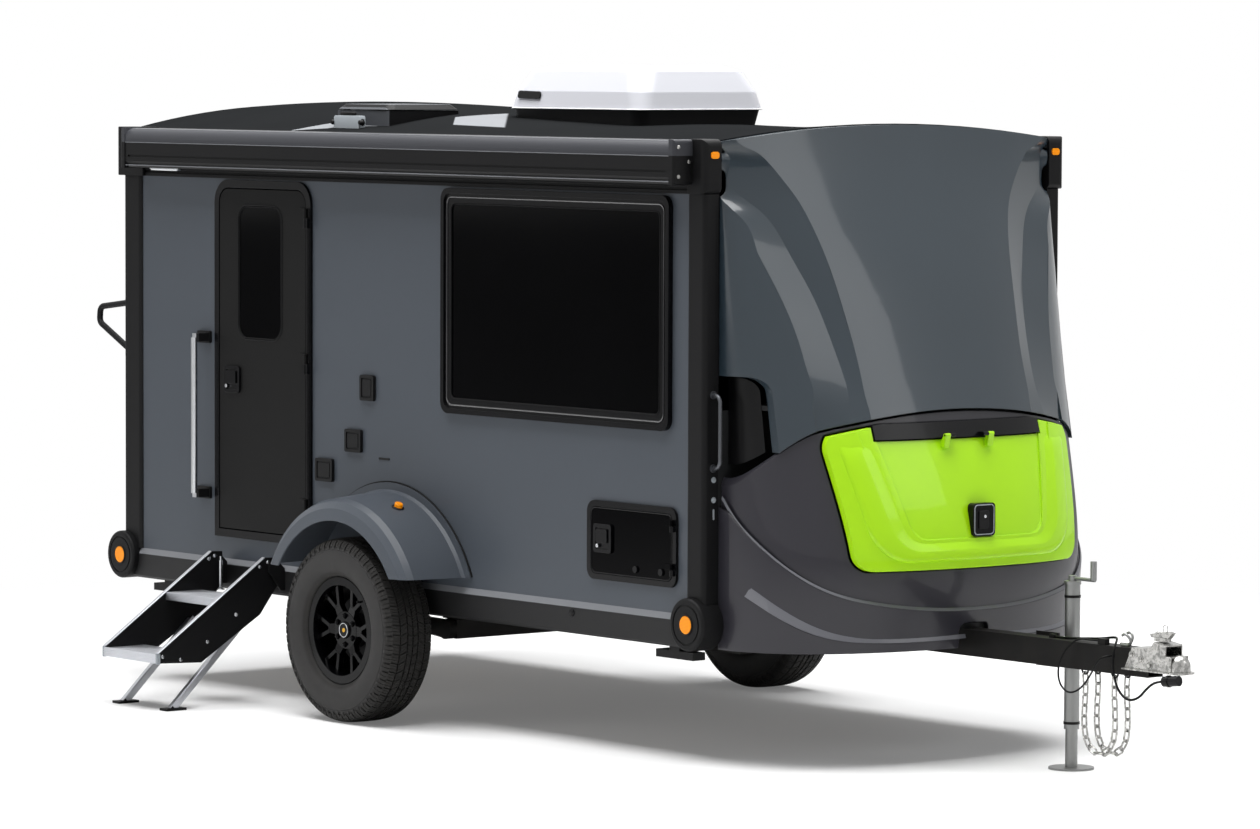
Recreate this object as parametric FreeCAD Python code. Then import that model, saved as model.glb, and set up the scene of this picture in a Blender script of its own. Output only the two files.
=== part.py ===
import FreeCAD, Part
import math
import os

V = FreeCAD.Vector

# Trailer axes: +X points forward to the coupler, +Y to the left side, +Z up.
# While building, x = 0 is the centre of the rear lower corner drum, y = 0 the
# centre plane and z = 0 the ground. At the end everything is shifted so that
# the origin is the bottom centre of the whole trailer.

# Body box
REAR_X = -13.0
FRONT_X = 3845.0
HALF_W = 895.5
POST_T = 70.0
POST_IN = HALF_W - POST_T
REAR_POST_X1 = 117.0
FRONT_POST_X0 = 3741.0
POST_EDGE_R = 18.0
SILL_Z0 = 435.0
SILL_Z1 = 560.0
WALL_TOP = 2130.0
EAVE_Z = 2330.0
WALL_T = 30.0
WALL_SET = 12.0
WALL_OUT = HALF_W - WALL_SET
ROOF_T = 42.0
ROOF_CROWN_REAR = EAVE_Z + 93.0
ROOF_CROWN_VENT = EAVE_Z + 110.0
ROOF_CROWN_AC = EAVE_Z + 75.0
ROOF_CROWN_FRONT = EAVE_Z + 58.0
FLOOR_T = 48.0
SEAT_GAP = 0.3

# Corner castings
DRUM_R = 100.0
DRUM_Z = 527.0
DRUM_REAR_X = 0.0
DRUM_FRONT_X = 3780.0
DRUM_PROUD = 30.0
TOP_CAP_PROUD = 12.0
TOP_CAP_REAR_X0 = -52.0
TOP_CAP_REAR_X1 = 149.0
TOP_CAP_FRONT_X0 = 3757.0
MARKER_R = 34.0
MARKER_T = 8.0

# Nose: plan curves are superellipses that start at the front posts
NOSE_X = 3846.0
NOSE_SIDE_GAP = 1.5
NOSE_HALF_W = POST_IN - NOSE_SIDE_GAP
NOSE_POWER = 2.4
NOSE_T = 25.0
NOSE_BULGE = ((SILL_Z0, 490.0), (600.0, 535.0), (800.0, 552.0), (1000.0, 512.0), (1280.0, 418.0),
              (1550.0, 325.0), (1820.0, 235.0), (2100.0, 128.0), (2300.0, 68.0), (2470.0, 30.0))
CAP_GROOVE = ((2400.0, 900.0, 822.0, 800.0, 6.0), (2286.0, 900.0, 815.0, 682.0, 20.0),
              (2197.0, 880.0, 806.0, 588.0, 32.0), (2146.0, 850.0, 784.0, 553.0, 38.0),
              (2072.0, 800.0, 690.0, 515.0, 38.0), (1920.0, 735.0, 600.0, 468.0, 36.0),
              (1757.0, 676.0, 536.0, 440.0, 30.0), (1600.0, 634.0, 498.0, 420.0, 22.0),
              (1473.0, 619.0, 478.0, 408.0, 14.0), (1371.0, 617.0, 475.0, 404.0, 8.0),
              (1200.0, 615.0, 475.0, 404.0, 2.0))
RECESS_LINE = ((824.0, 1012.0), (785.0, 872.0), (672.0, 784.0), (490.0, 741.0), (0.0, 712.0))
RECESS_DEPTH = 13.0
LEDGE_LINE = ((824.0, 690.0), (700.0, 612.0), (460.0, 588.0), (0.0, 600.0))
LEDGE_PROUD = 11.0
SEAM_GAP = 10.0
SEAM_MID_Z = 1325.0
SEAM_SHOULDER_Y = 620.0
SEAM_SHOULDER_Z = 1256.0
SEAM_END_Z = 1015.0
POCKET_W = 86.0
POCKET_Y = NOSE_HALF_W - POCKET_W

# Front lid
LID_PROUD = 15.0
LID_BEHIND = 12.0
LID_TOP_Z = 1274.0
LID_BOTTOM_Z = 742.0
LID_TOP_Y = 616.0
LID_BOTTOM_Y = 545.0
LID_CORNER_R = 70.0
LID_TOP_R = 90.0
LID_SUNK_Z = 852.0
LID_GAP = 6.0
LID_STRIP = 10.0
BAR_HALF = 414.0
BAR_Z0 = 1222.0
BAR_GAP = 6.0
LID_AXIS_X = 4318.0
LID_AXIS_Z = 1232.0

# Entry door
DOOR_X0 = 660.0
DOOR_X1 = 1340.0
DOOR_Z0 = 650.0
DOOR_Z1 = 2125.0
DOOR_FRAME_W = 32.0
DOOR_TOP_R = 95.0
DOOR_CLEAR = 5.0
DOOR_PROUD = 10.5
DOOR_LEAF_OUT = WALL_OUT + DOOR_PROUD
DOOR_LEAF_T = 36.0
DOOR_WIN = (831.0, 1138.0, 1474.0, 2022.0)
DOOR_WIN_R = 62.0
DOOR_AXIS_X = 1321.0
DOOR_AXIS_Y = -WALL_OUT - 24.5
DOOR_LATCH_X = 739.0
DOOR_LATCH_Z = 1250.0
FRAME_PROUD = 12.0

# Side window
WIN = (2228.0, 3645.0, 1240.0, 2122.0)
WIN_R = 45.0
WIN_RIM = 62.0
WIN_PROUD = 22.0

# Side hatch
HATCH = (3147.0, 3684.0, 655.0, 955.0)
HATCH_R = 42.0
HATCH_RIM = 22.0
HATCH_AXIS_X = 3671.0
HATCH_AXIS_Y = -WALL_OUT - 23.5
HATCH_LATCH_X = 3195.0
HATCH_LATCH_Z = 759.0

# Hinge hardware
KNUCKLE_R = 8.0
PIN_R = 4.0
PIN_CLEAR = 0.2

# Wheels, axle and fenders
WHEEL_X = 1880.0
TYRE_R = 367.0
TYRE_W = 235.0
TYRE_SIDE_GAP = 37.0
TRACK_HALF = HALF_W + TYRE_SIDE_GAP + TYRE_W / 2
RIM_R = 190.0
RIM_W = 178.0
RIM_LIP_R = 212.0
SPOKES = 6
DRUM_BRAKE_R = 127.0
SPINDLE_R = 22.0
AXLE_BEAM = 76.0
AXLE_LEAD = 150.0
AXLE_Z = 402.0
FENDER_R = 530.0
FENDER_FLANGE_R = 583.0
FENDER_LIP_R = 445.0
FENDER_SIDE_GAP = 7.5
FENDER_OUT_Y = TRACK_HALF + TYRE_W / 2 + FENDER_SIDE_GAP
FENDER_LAMP_TURN = 22.0
FENDER_T = 7.0
FENDER_CUT_Z = 600.0

# Chassis
RAIL_INSET = 185.5
RAIL_Y = POST_IN - RAIL_INSET
RAIL_W = 50.0
BEAM_Z0 = 406.0
BEAM_Z1 = 506.0
TUBE_T = 5.0
CROSS_X = (70.0, 760.0, 1440.0, 2130.0, 2720.0, 3330.0, 3780.0)
CROSS_W = 50.0
TONGUE_W = 76.0
TONGUE_END_X = 5330.0

# Coupler, jack and chains
COUPLER_TIP_X = 5510.0
COUPLER_Z0 = 430.0
COUPLER_Z1 = 539.0
COUPLER_REAR_X = 5212.0
COUPLER_T = 5.0
BALL_R = 25.4
BALL_X = 5455.0
JACK_X = 4715.0
JACK_Y = 165.0
JACK_PIVOT_Z = 456.0
JACK_TUBE_R = 28.5
JACK_LEG_R = 23.0
JACK_FOOT_R = 85.0
JACK_TOP_Z = 690.0
CHAIN_WIRE_R = 3.5
CHAIN_LINK_L = 54.0
CHAIN_SLACK = 0.4
CHAIN_BEND_SLACK = 1.4
CHAIN_EYE_R = 16.0
CHAIN_Y = 22.0
CHAIN_NEAR_X = (4985.0, 5143.0)
CHAIN_FAR_X = (5005.0, 5163.0)
CHAIN_LINK_W = 29.0
CORD_R = 4.5
CABLE_R = 3.5
PLUG_R = 19.0
WIRING_X = 4800.0
SWITCH_X = 5062.0

# Steps
STEP_X0 = 756.0
STEP_X1 = 1150.0
STEP_PLATE_T = 14.0
STEP_PIVOT_Y = -HALF_W - 56.5
STEP_PIVOT_Z = 560.0
STEP_PIN_R = 8.0

# Roof fittings
AC = (1898.0, 2752.0, -332.0, 332.0)
AC_SPLIT_Z = ROOF_CROWN_AC + 23.0
AC_SHOULDER_H = 70.0
AC_H = 174.0
AC_TOP_Z = AC_SPLIT_Z + AC_H
VENT_X = 1440.0
VENT_Y = -530.0
VENT_HALF = 175.0
VENT_RIM_Z = EAVE_Z + 86.0

# Awning
AWNING_X0 = 149.0
AWNING_X1 = 3757.0
AWNING_Z0 = 2167.0
AWNING_Z1 = 2330.0
AWNING_OUT = 100.0

# Overall reach, used only to place the origin
HOOP_REACH = 270.0
HOOP_Z0 = 1385.0
HOOP_Z1 = 1592.0
STEP_REACH = HALF_W + 616.5
CENTRE_X = (COUPLER_TIP_X - HOOP_REACH) / 2
CENTRE_Y = (FENDER_OUT_Y - STEP_REACH) / 2


def box(x0, x1, y0, y1, z0, z1):
    return Part.makeBox(x1 - x0, y1 - y0, z1 - z0, V(x0, y0, z0))


def rod(a, b, radius):
    a = V(*a)
    b = V(*b)
    return Part.makeCylinder(radius, (b - a).Length, a, b - a)


def mirrored(shape):
    return shape.mirror(V(0, 0, 0), V(0, 1, 0))


def both_sides(shape):
    return [shape, mirrored(shape)]


def fuse(shapes):
    return shapes[0].multiFuse(shapes[1:]).removeSplitter()


def polygon_prism(points, direction):
    wire = Part.makePolygon([V(*p) for p in points] + [V(*points[0])])
    return Part.Face(wire).extrude(V(*direction))


def rounded_points(u0, u1, w0, w1, radii):
    """Edges of a rectangle whose corners (low left, low right, high right, high left) are rounded."""
    corners = ((u0, w0, 180), (u1, w0, 270), (u1, w1, 0), (u0, w1, 90))
    inward = ((1, 1), (-1, 1), (-1, -1), (1, -1))
    edges = []
    ends = []
    for (u, w, start), (su, sw), r in zip(corners, inward, radii):
        if r > 0:
            centre = (u + su * r, w + sw * r)
            pts = []
            for turn in (0, 45, 90):
                a = math.radians(start + turn)
                pts.append((centre[0] + r * math.cos(a), centre[1] + r * math.sin(a)))
            edges.append(("arc", pts))
            ends.append((pts[0], pts[2]))
        else:
            ends.append(((u, w), (u, w)))
    lines = []
    for i in range(4):
        lines.append(("line", (ends[i][1], ends[(i + 1) % 4][0])))
    return edges, lines


def side_prism(x0, x1, z0, z1, y_from, y_to, radii):
    """A panel in the X and Z plane with rounded corners, from one y to another."""
    if not isinstance(radii, tuple):
        radii = (radii,) * 4
    edges, lines = rounded_points(x0, x1, z0, z1, radii)
    made = [Part.Arc(*[V(u, y_from, w) for u, w in pts]).toShape() for _, pts in edges]
    made += [Part.makeLine(V(a[0], y_from, a[1]), V(b[0], y_from, b[1])) for _, (a, b) in lines]
    wire = Part.Wire(Part.__sortEdges__(made))
    return Part.Face(wire).extrude(V(0, y_to - y_from, 0))


def front_prism(y0, y1, z0, z1, x_from, x_to, radii):
    """A panel in the Y and Z plane with rounded corners, from one x to another."""
    if not isinstance(radii, tuple):
        radii = (radii,) * 4
    edges, lines = rounded_points(y0, y1, z0, z1, radii)
    made = [Part.Arc(*[V(x_from, u, w) for u, w in pts]).toShape() for _, pts in edges]
    made += [Part.makeLine(V(x_from, a[0], a[1]), V(x_from, b[0], b[1])) for _, (a, b) in lines]
    wire = Part.Wire(Part.__sortEdges__(made))
    return Part.Face(wire).extrude(V(x_to - x_from, 0, 0))


def bent_wire(points, bend_of):
    """Straight runs joined by tangent arcs; bend_of gives the radius at each inner point."""
    pts = [V(*p) for p in points]
    edges = []
    start = pts[0]
    radii = []
    for i in range(1, len(pts) - 1):
        into = (pts[i] - pts[i - 1]).normalize()
        out = (pts[i + 1] - pts[i]).normalize()
        turn = into.getAngle(out)
        runs = min((pts[i] - pts[i - 1]).Length, (pts[i + 1] - pts[i]).Length)
        radius = bend_of(runs, turn)
        radii.append(radius)
        trim = radius * math.tan(turn / 2)
        a = pts[i] - into * trim
        b = pts[i] + out * trim
        bisector = (out - into).normalize()
        centre = pts[i] + bisector * (radius / math.cos(turn / 2))
        middle = centre - bisector * radius
        edges.append(Part.makeLine(start, a))
        edges.append(Part.Arc(a, middle, b).toShape())
        start = b
    edges.append(Part.makeLine(start, pts[-1]))
    return Part.Wire(edges), radii


def pipe(points, bend_of, radius):
    path, radii = bent_wire(points, bend_of)
    first = V(*points[0])
    heading = V(*points[1]) - first
    ring = Part.Wire(Part.makeCircle(radius, first, heading))
    return path.makePipeShell([ring], True, False), path, radii


def fixed_bend(radius):
    return lambda run, turn: radius


def cord_bend(run, turn):
    """As large an arc as the two runs allow."""
    return 0.45 * run / math.tan(turn / 2)


def knuckle(x, y, z0, z1, bore):
    shape = rod((x, y, z0), (x, y, z1), KNUCKLE_R)
    if bore:
        shape = shape.cut(rod((x, y, z0 - 1), (x, y, z1 + 1), PIN_R + PIN_CLEAR))
    return shape


# Roof and eaves

def arch_z(y, crown):
    """Height of the roof over y: a parabola from the eaves to the crown."""
    return EAVE_Z + (crown - EAVE_Z) * (1 - (y / POST_IN) ** 2)


def roof_section(x, crown, drop, half):
    top = Part.Arc(V(x, -half, arch_z(half, crown) - drop), V(x, 0, crown - drop),
                   V(x, half, arch_z(half, crown) - drop)).toShape()
    return top


def roof_slab_wire(x, crown, thick, half):
    top = roof_section(x, crown, 0, half)
    low = roof_section(x, crown, thick, half)
    left = Part.makeLine(top.Vertexes[-1].Point, low.Vertexes[-1].Point)
    right = Part.makeLine(low.Vertexes[0].Point, top.Vertexes[0].Point)
    return Part.Wire(Part.__sortEdges__([top, left, low, right]))


ROOF_STATIONS = ((REAR_X, ROOF_CROWN_REAR), (950.0, ROOF_CROWN_VENT), (1900.0, ROOF_CROWN_AC),
                 (NOSE_X, ROOF_CROWN_FRONT))


def roof_panel():
    half = POST_IN - SEAT_GAP
    wires = [roof_slab_wire(x, crown, ROOF_T, half) for x, crown in ROOF_STATIONS]
    slab = Part.makeLoft(wires, True, False)
    return slab.cut(vent_hole(EAVE_Z - 200, EAVE_Z + 300))


def under_roof(x0, x1, crown, drop):
    """Everything below the arch, as a cutting shape for walls that end under the roof."""
    half = POST_IN + 200
    top = roof_section(x0, crown, drop, POST_IN)
    a = top.Vertexes[0].Point
    b = top.Vertexes[-1].Point
    low_a = V(x0, a.y, 0)
    low_b = V(x0, b.y, 0)
    wire = Part.Wire(Part.__sortEdges__([top, Part.makeLine(b, low_b), Part.makeLine(low_b, low_a),
                                         Part.makeLine(low_a, a)]))
    return Part.Face(wire).extrude(V(x1 - x0, 0, 0))


def roof_rails():
    rail = box(TOP_CAP_REAR_X1, TOP_CAP_FRONT_X0, -HALF_W, -POST_IN, WALL_TOP, EAVE_Z)
    groove = box(TOP_CAP_REAR_X1, TOP_CAP_FRONT_X0, -HALF_W - 1, -HALF_W + 6, WALL_TOP + 14, WALL_TOP + 26)
    return Part.Compound(both_sides(rail.cut(groove)))


# Walls, posts and corner castings

def posts():
    made = []
    for x0, x1, drum_x in ((REAR_X, REAR_POST_X1, DRUM_REAR_X), (FRONT_POST_X0, FRONT_X, DRUM_FRONT_X)):
        post = box(x0, x1, -HALF_W, -POST_IN, SILL_Z1, WALL_TOP)
        upright = [e for e in post.Edges if abs(e.Vertexes[0].Z - e.Vertexes[-1].Z) > 100
                   and e.Vertexes[0].Y < -POST_IN - 1]
        post = post.makeFillet(POST_EDGE_R, upright)
        made += both_sides(post.cut(drum_solid(drum_x, SEAT_GAP)))
    return made


def drum_solid(x, grow):
    return rod((x, -POST_IN + grow, DRUM_Z), (x, -HALF_W - DRUM_PROUD - grow, DRUM_Z), DRUM_R + grow)


def corner_drum(x):
    drum = drum_solid(x, 0)
    rim = [e for e in drum.Edges if e.Length > 400 and abs(e.BoundBox.Center.y + HALF_W + DRUM_PROUD) < 1]
    drum = drum.makeFillet(12, rim)
    face_y = -HALF_W - DRUM_PROUD
    groove = rod((x, face_y - 1, DRUM_Z), (x, face_y + 4, DRUM_Z), 78).cut(
        rod((x, face_y - 2, DRUM_Z), (x, face_y + 5, DRUM_Z), 70))
    pocket = rod((x, face_y - 1, DRUM_Z), (x, face_y + MARKER_T, DRUM_Z), MARKER_R + SEAT_GAP)
    return drum.cut(groove).cut(pocket)


def lower_corners():
    made = []
    for x in (DRUM_REAR_X, DRUM_FRONT_X):
        made += both_sides(corner_drum(x))
    return Part.Compound(made)


def top_corners():
    made = []
    front_x1 = FRONT_X + TOP_CAP_PROUD
    for x0, x1, free_x in ((TOP_CAP_REAR_X0, TOP_CAP_REAR_X1, TOP_CAP_REAR_X0),
                           (TOP_CAP_FRONT_X0, front_x1, front_x1)):
        cap = box(x0, x1, -HALF_W - TOP_CAP_PROUD, -POST_IN, WALL_TOP, EAVE_Z + 4)
        free = [e for e in cap.Edges if abs(e.BoundBox.Center.x - free_x) < 1]
        cap = cap.makeFillet(26, [e for e in free if e.BoundBox.Center.y < -POST_IN - 1])
        if free_x > FRONT_POST_X0:
            cap = cap.cut(top_marker(free_x - MARKER_T, free_x + 1, -1, 0.3))
        made += both_sides(cap)
    return Part.Compound(made)


def top_marker(x0, x1, side, grow):
    y = side * 858.0
    return front_prism(y - 19 - grow, y + 19 + grow, 2262 - grow, 2288 + grow, x0, x1, 11)


def marker_lights():
    made = []
    face_y = -HALF_W - DRUM_PROUD
    for x in (DRUM_REAR_X, DRUM_FRONT_X):
        lens = rod((x, face_y + MARKER_T, DRUM_Z), (x, face_y - 4, DRUM_Z), MARKER_R)
        lens = lens.makeFillet(3, [e for e in lens.Edges if abs(e.BoundBox.Center.y - face_y + 4) < 1 and e.Length > 100])
        made += both_sides(lens)
    front = FRONT_X + TOP_CAP_PROUD
    made += both_sides(top_marker(front - MARKER_T, front + 4, -1, 0))
    made += both_sides(fender_lamp())
    return Part.Compound(made)


def fender_lamp():
    """Small lens on the fender's crown, ahead of the wheel centre."""
    lens = rod((WHEEL_X, -1000, TYRE_R + 500), (WHEEL_X, -1000, TYRE_R + FENDER_R + 22), 17)
    lens = lens.makeFillet(5, [e for e in lens.Edges if abs(e.BoundBox.Center.z - TYRE_R - FENDER_R - 22) < 1])
    lens.rotate(V(WHEEL_X, 0, TYRE_R), V(0, 1, 0), FENDER_LAMP_TURN)
    return lens.cut(fender_form(SEAT_GAP))


def sills():
    profile = [(-POST_IN, SILL_Z0), (-HALF_W + 8, SILL_Z0), (-HALF_W, SILL_Z0 + 10), (-HALF_W, SILL_Z1 - 24),
               (-HALF_W + 12, SILL_Z1), (-POST_IN, SILL_Z1)]
    sill = polygon_prism([(DRUM_REAR_X + 10, y, z) for y, z in profile], (DRUM_FRONT_X - DRUM_REAR_X - 20, 0, 0))
    for x in (DRUM_REAR_X, DRUM_FRONT_X):
        sill = sill.cut(drum_solid(x, SEAT_GAP))
    return Part.Compound(both_sides(sill))


def door_hole(grow):
    return side_prism(DOOR_X0 - grow, DOOR_X1 + grow, DOOR_Z0 - grow, DOOR_Z1 + grow, -HALF_W - 40, -HALF_W + 120,
                      (0, 0, DOOR_TOP_R + grow, DOOR_TOP_R + grow))


def window_hole(grow):
    x0, x1, z0, z1 = WIN
    inset = WIN_RIM - 24 - grow
    return side_prism(x0 + inset, x1 - inset, z0 + inset, z1 - inset, -HALF_W - 40, -HALF_W + 120, WIN_R)


def hatch_hole(grow):
    x0, x1, z0, z1 = HATCH
    inset = HATCH_RIM - 8 - grow
    return side_prism(x0 + inset, x1 - inset, z0 + inset, z1 - inset, -HALF_W - 40, -HALF_W + 120, HATCH_R - 8)


def side_wall(door_side):
    wall = box(REAR_POST_X1, FRONT_POST_X0, -WALL_OUT, -WALL_OUT + WALL_T, SILL_Z1, WALL_TOP)
    wall = wall.cut(window_hole(0)).cut(drum_solid(DRUM_FRONT_X, SEAT_GAP))
    if door_side:
        wall = wall.cut(door_hole(0)).cut(hatch_hole(0))
    return wall


def rear_wall():
    wall = box(REAR_X, REAR_X + WALL_T, -POST_IN, POST_IN, SILL_Z0, EAVE_Z + 200)
    return wall.common(under_roof(REAR_X, REAR_X + WALL_T, ROOF_CROWN_REAR, ROOF_T + SEAT_GAP))


def floor_panel():
    return box(REAR_X + WALL_T, FRONT_X - WALL_T, -POST_IN, POST_IN, BEAM_Z1, SILL_Z1)


def front_bulkhead():
    return box(FRONT_X - WALL_T, FRONT_X, -POST_IN, POST_IN, SILL_Z1 - FLOOR_T, SEAM_MID_Z)


# Nose

def nose_points(bulge, half_w, count):
    """Plan curve of the nose: a superellipse from one front post round to the other."""
    made = []
    for i in range(count + 1):
        t = math.pi * i / count
        c = math.cos(t)
        s = math.sin(t)
        y = -half_w * math.copysign(abs(c) ** (2 / NOSE_POWER), c)
        x = bulge * abs(s) ** (2 / NOSE_POWER)
        made.append((x, y))
    return made


def nose_wire(z, bulge, half_w):
    pts = [V(NOSE_X + x, y, z) for x, y in nose_points(bulge, half_w, 12)]
    curve = Part.BSplineCurve()
    curve.interpolate(pts)
    chord = Part.makeLine(pts[-1], pts[0])
    return Part.Wire([curve.toShape(), chord])


def nose_loft(grow):
    wires = [nose_wire(z, bulge + grow, NOSE_HALF_W + min(grow, 0)) for z, bulge in NOSE_BULGE]
    return Part.makeLoft(wires, True, False)


def seam_prism(drop):
    """All that lies above the seam between cap and fairing."""
    x = NOSE_X - 10
    mid = SEAM_MID_Z - drop
    shoulder = SEAM_SHOULDER_Z - drop
    end = SEAM_END_Z - drop
    top = EAVE_Z + 400
    w = NOSE_HALF_W + 60
    bend_y = (SEAM_SHOULDER_Y + NOSE_HALF_W) / 2 + 28
    bend_z = shoulder * 0.62 + end * 0.38
    arch = Part.Arc(V(x, -SEAM_SHOULDER_Y, shoulder), V(x, 0, mid), V(x, SEAM_SHOULDER_Y, shoulder)).toShape()
    right = Part.Arc(V(x, -NOSE_HALF_W, end), V(x, -bend_y, bend_z), V(x, -SEAM_SHOULDER_Y, shoulder)).toShape()
    left = Part.Arc(V(x, SEAM_SHOULDER_Y, shoulder), V(x, bend_y, bend_z), V(x, NOSE_HALF_W, end)).toShape()
    edges = [right, arch, left, Part.makeLine(V(x, NOSE_HALF_W, end), V(x, w, end)),
             Part.makeLine(V(x, w, end), V(x, w, top)), Part.makeLine(V(x, w, top), V(x, -w, top)),
             Part.makeLine(V(x, -w, top), V(x, -w, end)), Part.makeLine(V(x, -w, end), V(x, -NOSE_HALF_W, end))]
    return Part.Face(Part.Wire(edges)).extrude(V(900, 0, 0))


def nose_front(y, z):
    """Forward face of the nose at a place across and up, and the way it faces there."""
    heights = [h for h, bulge in NOSE_BULGE]
    i = max(1, min(len(heights) - 1, sum(1 for h in heights if h < z)))
    (z0, b0), (z1, b1) = NOSE_BULGE[i - 1], NOSE_BULGE[i]
    bulge = b0 + (b1 - b0) * (z - z0) / (z1 - z0)
    share = min(1.0, abs(y) / NOSE_HALF_W)
    x = bulge * (1 - share ** NOSE_POWER) ** (1 / NOSE_POWER)
    facing = V((x / bulge) ** (NOSE_POWER - 1) / bulge, share ** (NOSE_POWER - 1) / NOSE_HALF_W, 0)
    return V(NOSE_X + x, abs(y), z), facing.normalize()


def cap_groove(side, widen, deepen):
    """Cutter for the swept V groove on one side of the cap, lofted through slices at several heights."""
    wires = []
    for z, outer, valley, inner, depth in CAP_GROOVE:
        a, _ = nose_front(inner - widen, z)
        b, facing = nose_front(valley, z)
        b = b - facing * (depth + deepen)
        c, _ = nose_front(outer + widen, z)
        if outer + widen > NOSE_HALF_W:
            c = V(NOSE_X - 20, outer + widen, z)
        pts = [a, b, c, V(NOSE_X + 700, outer + widen, z), V(NOSE_X + 700, inner - widen, z)]
        pts = [V(q.x, side * q.y, q.z) for q in pts]
        wires.append(Part.makePolygon(pts + [pts[0]]))
    return Part.makeLoft(wires, True, False)


def nose_cap(outer, inner):
    """Upper nose: a moulded shell under the front end of the roof arch, with two swept grooves."""
    arch = under_roof(NOSE_X - 1, NOSE_X + 700, ROOF_CROWN_FRONT, 4)
    solid = outer.common(arch).common(seam_prism(0))
    cavity = inner.common(under_roof(NOSE_X - 2, NOSE_X + 700, ROOF_CROWN_FRONT, ROOF_T))
    for side in (-1, 1):
        solid = solid.cut(cap_groove(side, 0, 0))
        cavity = cavity.cut(cap_groove(side, 20, 22))
    return solid.cut(cavity).cut(pocket_solid(0))


def pocket_solid(inset):
    """Hand recess beside each front post, above the seam."""
    made = []
    for side in (-1, 1):
        ys = sorted((side * (NOSE_HALF_W + 30), side * (POCKET_Y + inset)))
        radii = (0, 60 - inset, 60 - inset, 0) if side < 0 else (60 - inset, 0, 0, 60 - inset)
        made.append(front_prism(ys[0], ys[1], SEAM_END_Z - 60, 1456 - inset, NOSE_X - 5, NOSE_X + 400, radii))
    return Part.Compound(made)


def nose_pockets():
    """Dark tubs set back behind the hand recesses."""
    deep = nose_loft(-46).common(seam_prism(0)).common(pocket_solid(SEAT_GAP))
    return deep.cut(nose_loft(-54))


def above_line(line, slope):
    """All that lies above a curve drawn across the front; the cut slopes down as it comes forward."""
    pts = [V(NOSE_X - 10, -y, z) for y, z in line] + [V(NOSE_X - 10, y, z) for y, z in reversed(line[:-1])]
    curve = Part.BSplineCurve()
    curve.interpolate(pts)
    w = NOSE_HALF_W + 40
    ends = [V(NOSE_X - 10, w, pts[0].z), V(NOSE_X - 10, w, EAVE_Z), V(NOSE_X - 10, -w, EAVE_Z),
            V(NOSE_X - 10, -w, pts[0].z), pts[0]]
    edges = [curve.toShape()]
    here = pts[-1]
    for there in ends:
        edges.append(Part.makeLine(here, there))
        here = there
    return Part.Face(Part.Wire(edges)).extrude(V(800, 0, -800 * slope))


def nose_fairing(outer, inner):
    """Lower nose: proud under the ledge, level in the middle and set back round the lid."""
    proud = nose_loft(LEDGE_PROUD).cut(above_line(LEDGE_LINE, 0.25))
    solid = outer.fuse(proud).cut(inner).cut(seam_prism(SEAM_GAP))
    keep = box(NOSE_X, NOSE_X + 800, -NOSE_HALF_W, NOSE_HALF_W, SILL_Z0, EAVE_Z)
    solid = solid.common(keep)
    recess = above_line(RECESS_LINE, 0.25).cut(nose_loft(-RECESS_DEPTH))
    tongue_slot = front_prism(-TONGUE_W / 2 - 34, TONGUE_W / 2 + 34, SILL_Z0 - 60, BEAM_Z1 + 24,
                              NOSE_X + 200, NOSE_X + 800, (0, 0, 26, 26))
    opening = lid_prism(LID_GAP).cut(seam_prism(SEAM_GAP + LID_STRIP))
    return solid.cut(recess).cut(opening).cut(tongue_slot)


def lid_outline_edges(grow):
    """Lid outline seen from the front: sides lean in towards the bottom, corners are rounded."""
    r = LID_CORNER_R + grow
    top_z = LID_TOP_Z + grow
    low_z = LID_BOTTOM_Z - grow
    top_y = LID_TOP_Y + grow
    low_y = LID_BOTTOM_Y + grow
    pts = [(-top_y, top_z), (-low_y, low_z), (low_y, low_z), (top_y, top_z)]
    return pts, r


def lid_prism(grow):
    pts, r = lid_outline_edges(grow)
    x = NOSE_X
    prism = polygon_prism([(x, y, z) for y, z in pts], (800, 0, 0))
    low = [e for e in prism.Edges if e.Length > 799 and e.BoundBox.Center.z < LID_BOTTOM_Z + 20]
    high = [e for e in prism.Edges if e.Length > 799 and e.BoundBox.Center.z > LID_TOP_Z - 20]
    return prism.makeFillet(r, low).makeFillet(LID_TOP_R + grow, high)


def lid_sunk(grow):
    """Outline of the lid's sunk middle, a tub with rounded lower corners."""
    z = LID_SUNK_Z - grow / 2
    top = LID_TOP_Z + 40
    prism = polygon_prism([(NOSE_X, -430 - grow, top), (NOSE_X, -318 - grow, z), (NOSE_X, 318 + grow, z),
                           (NOSE_X, 430 + grow, top)], (800, 0, 0))
    low = [e for e in prism.Edges if e.Length > 799 and e.BoundBox.Center.z < z + 20]
    return prism.makeFillet(LID_CORNER_R + grow / 2, low)


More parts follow.
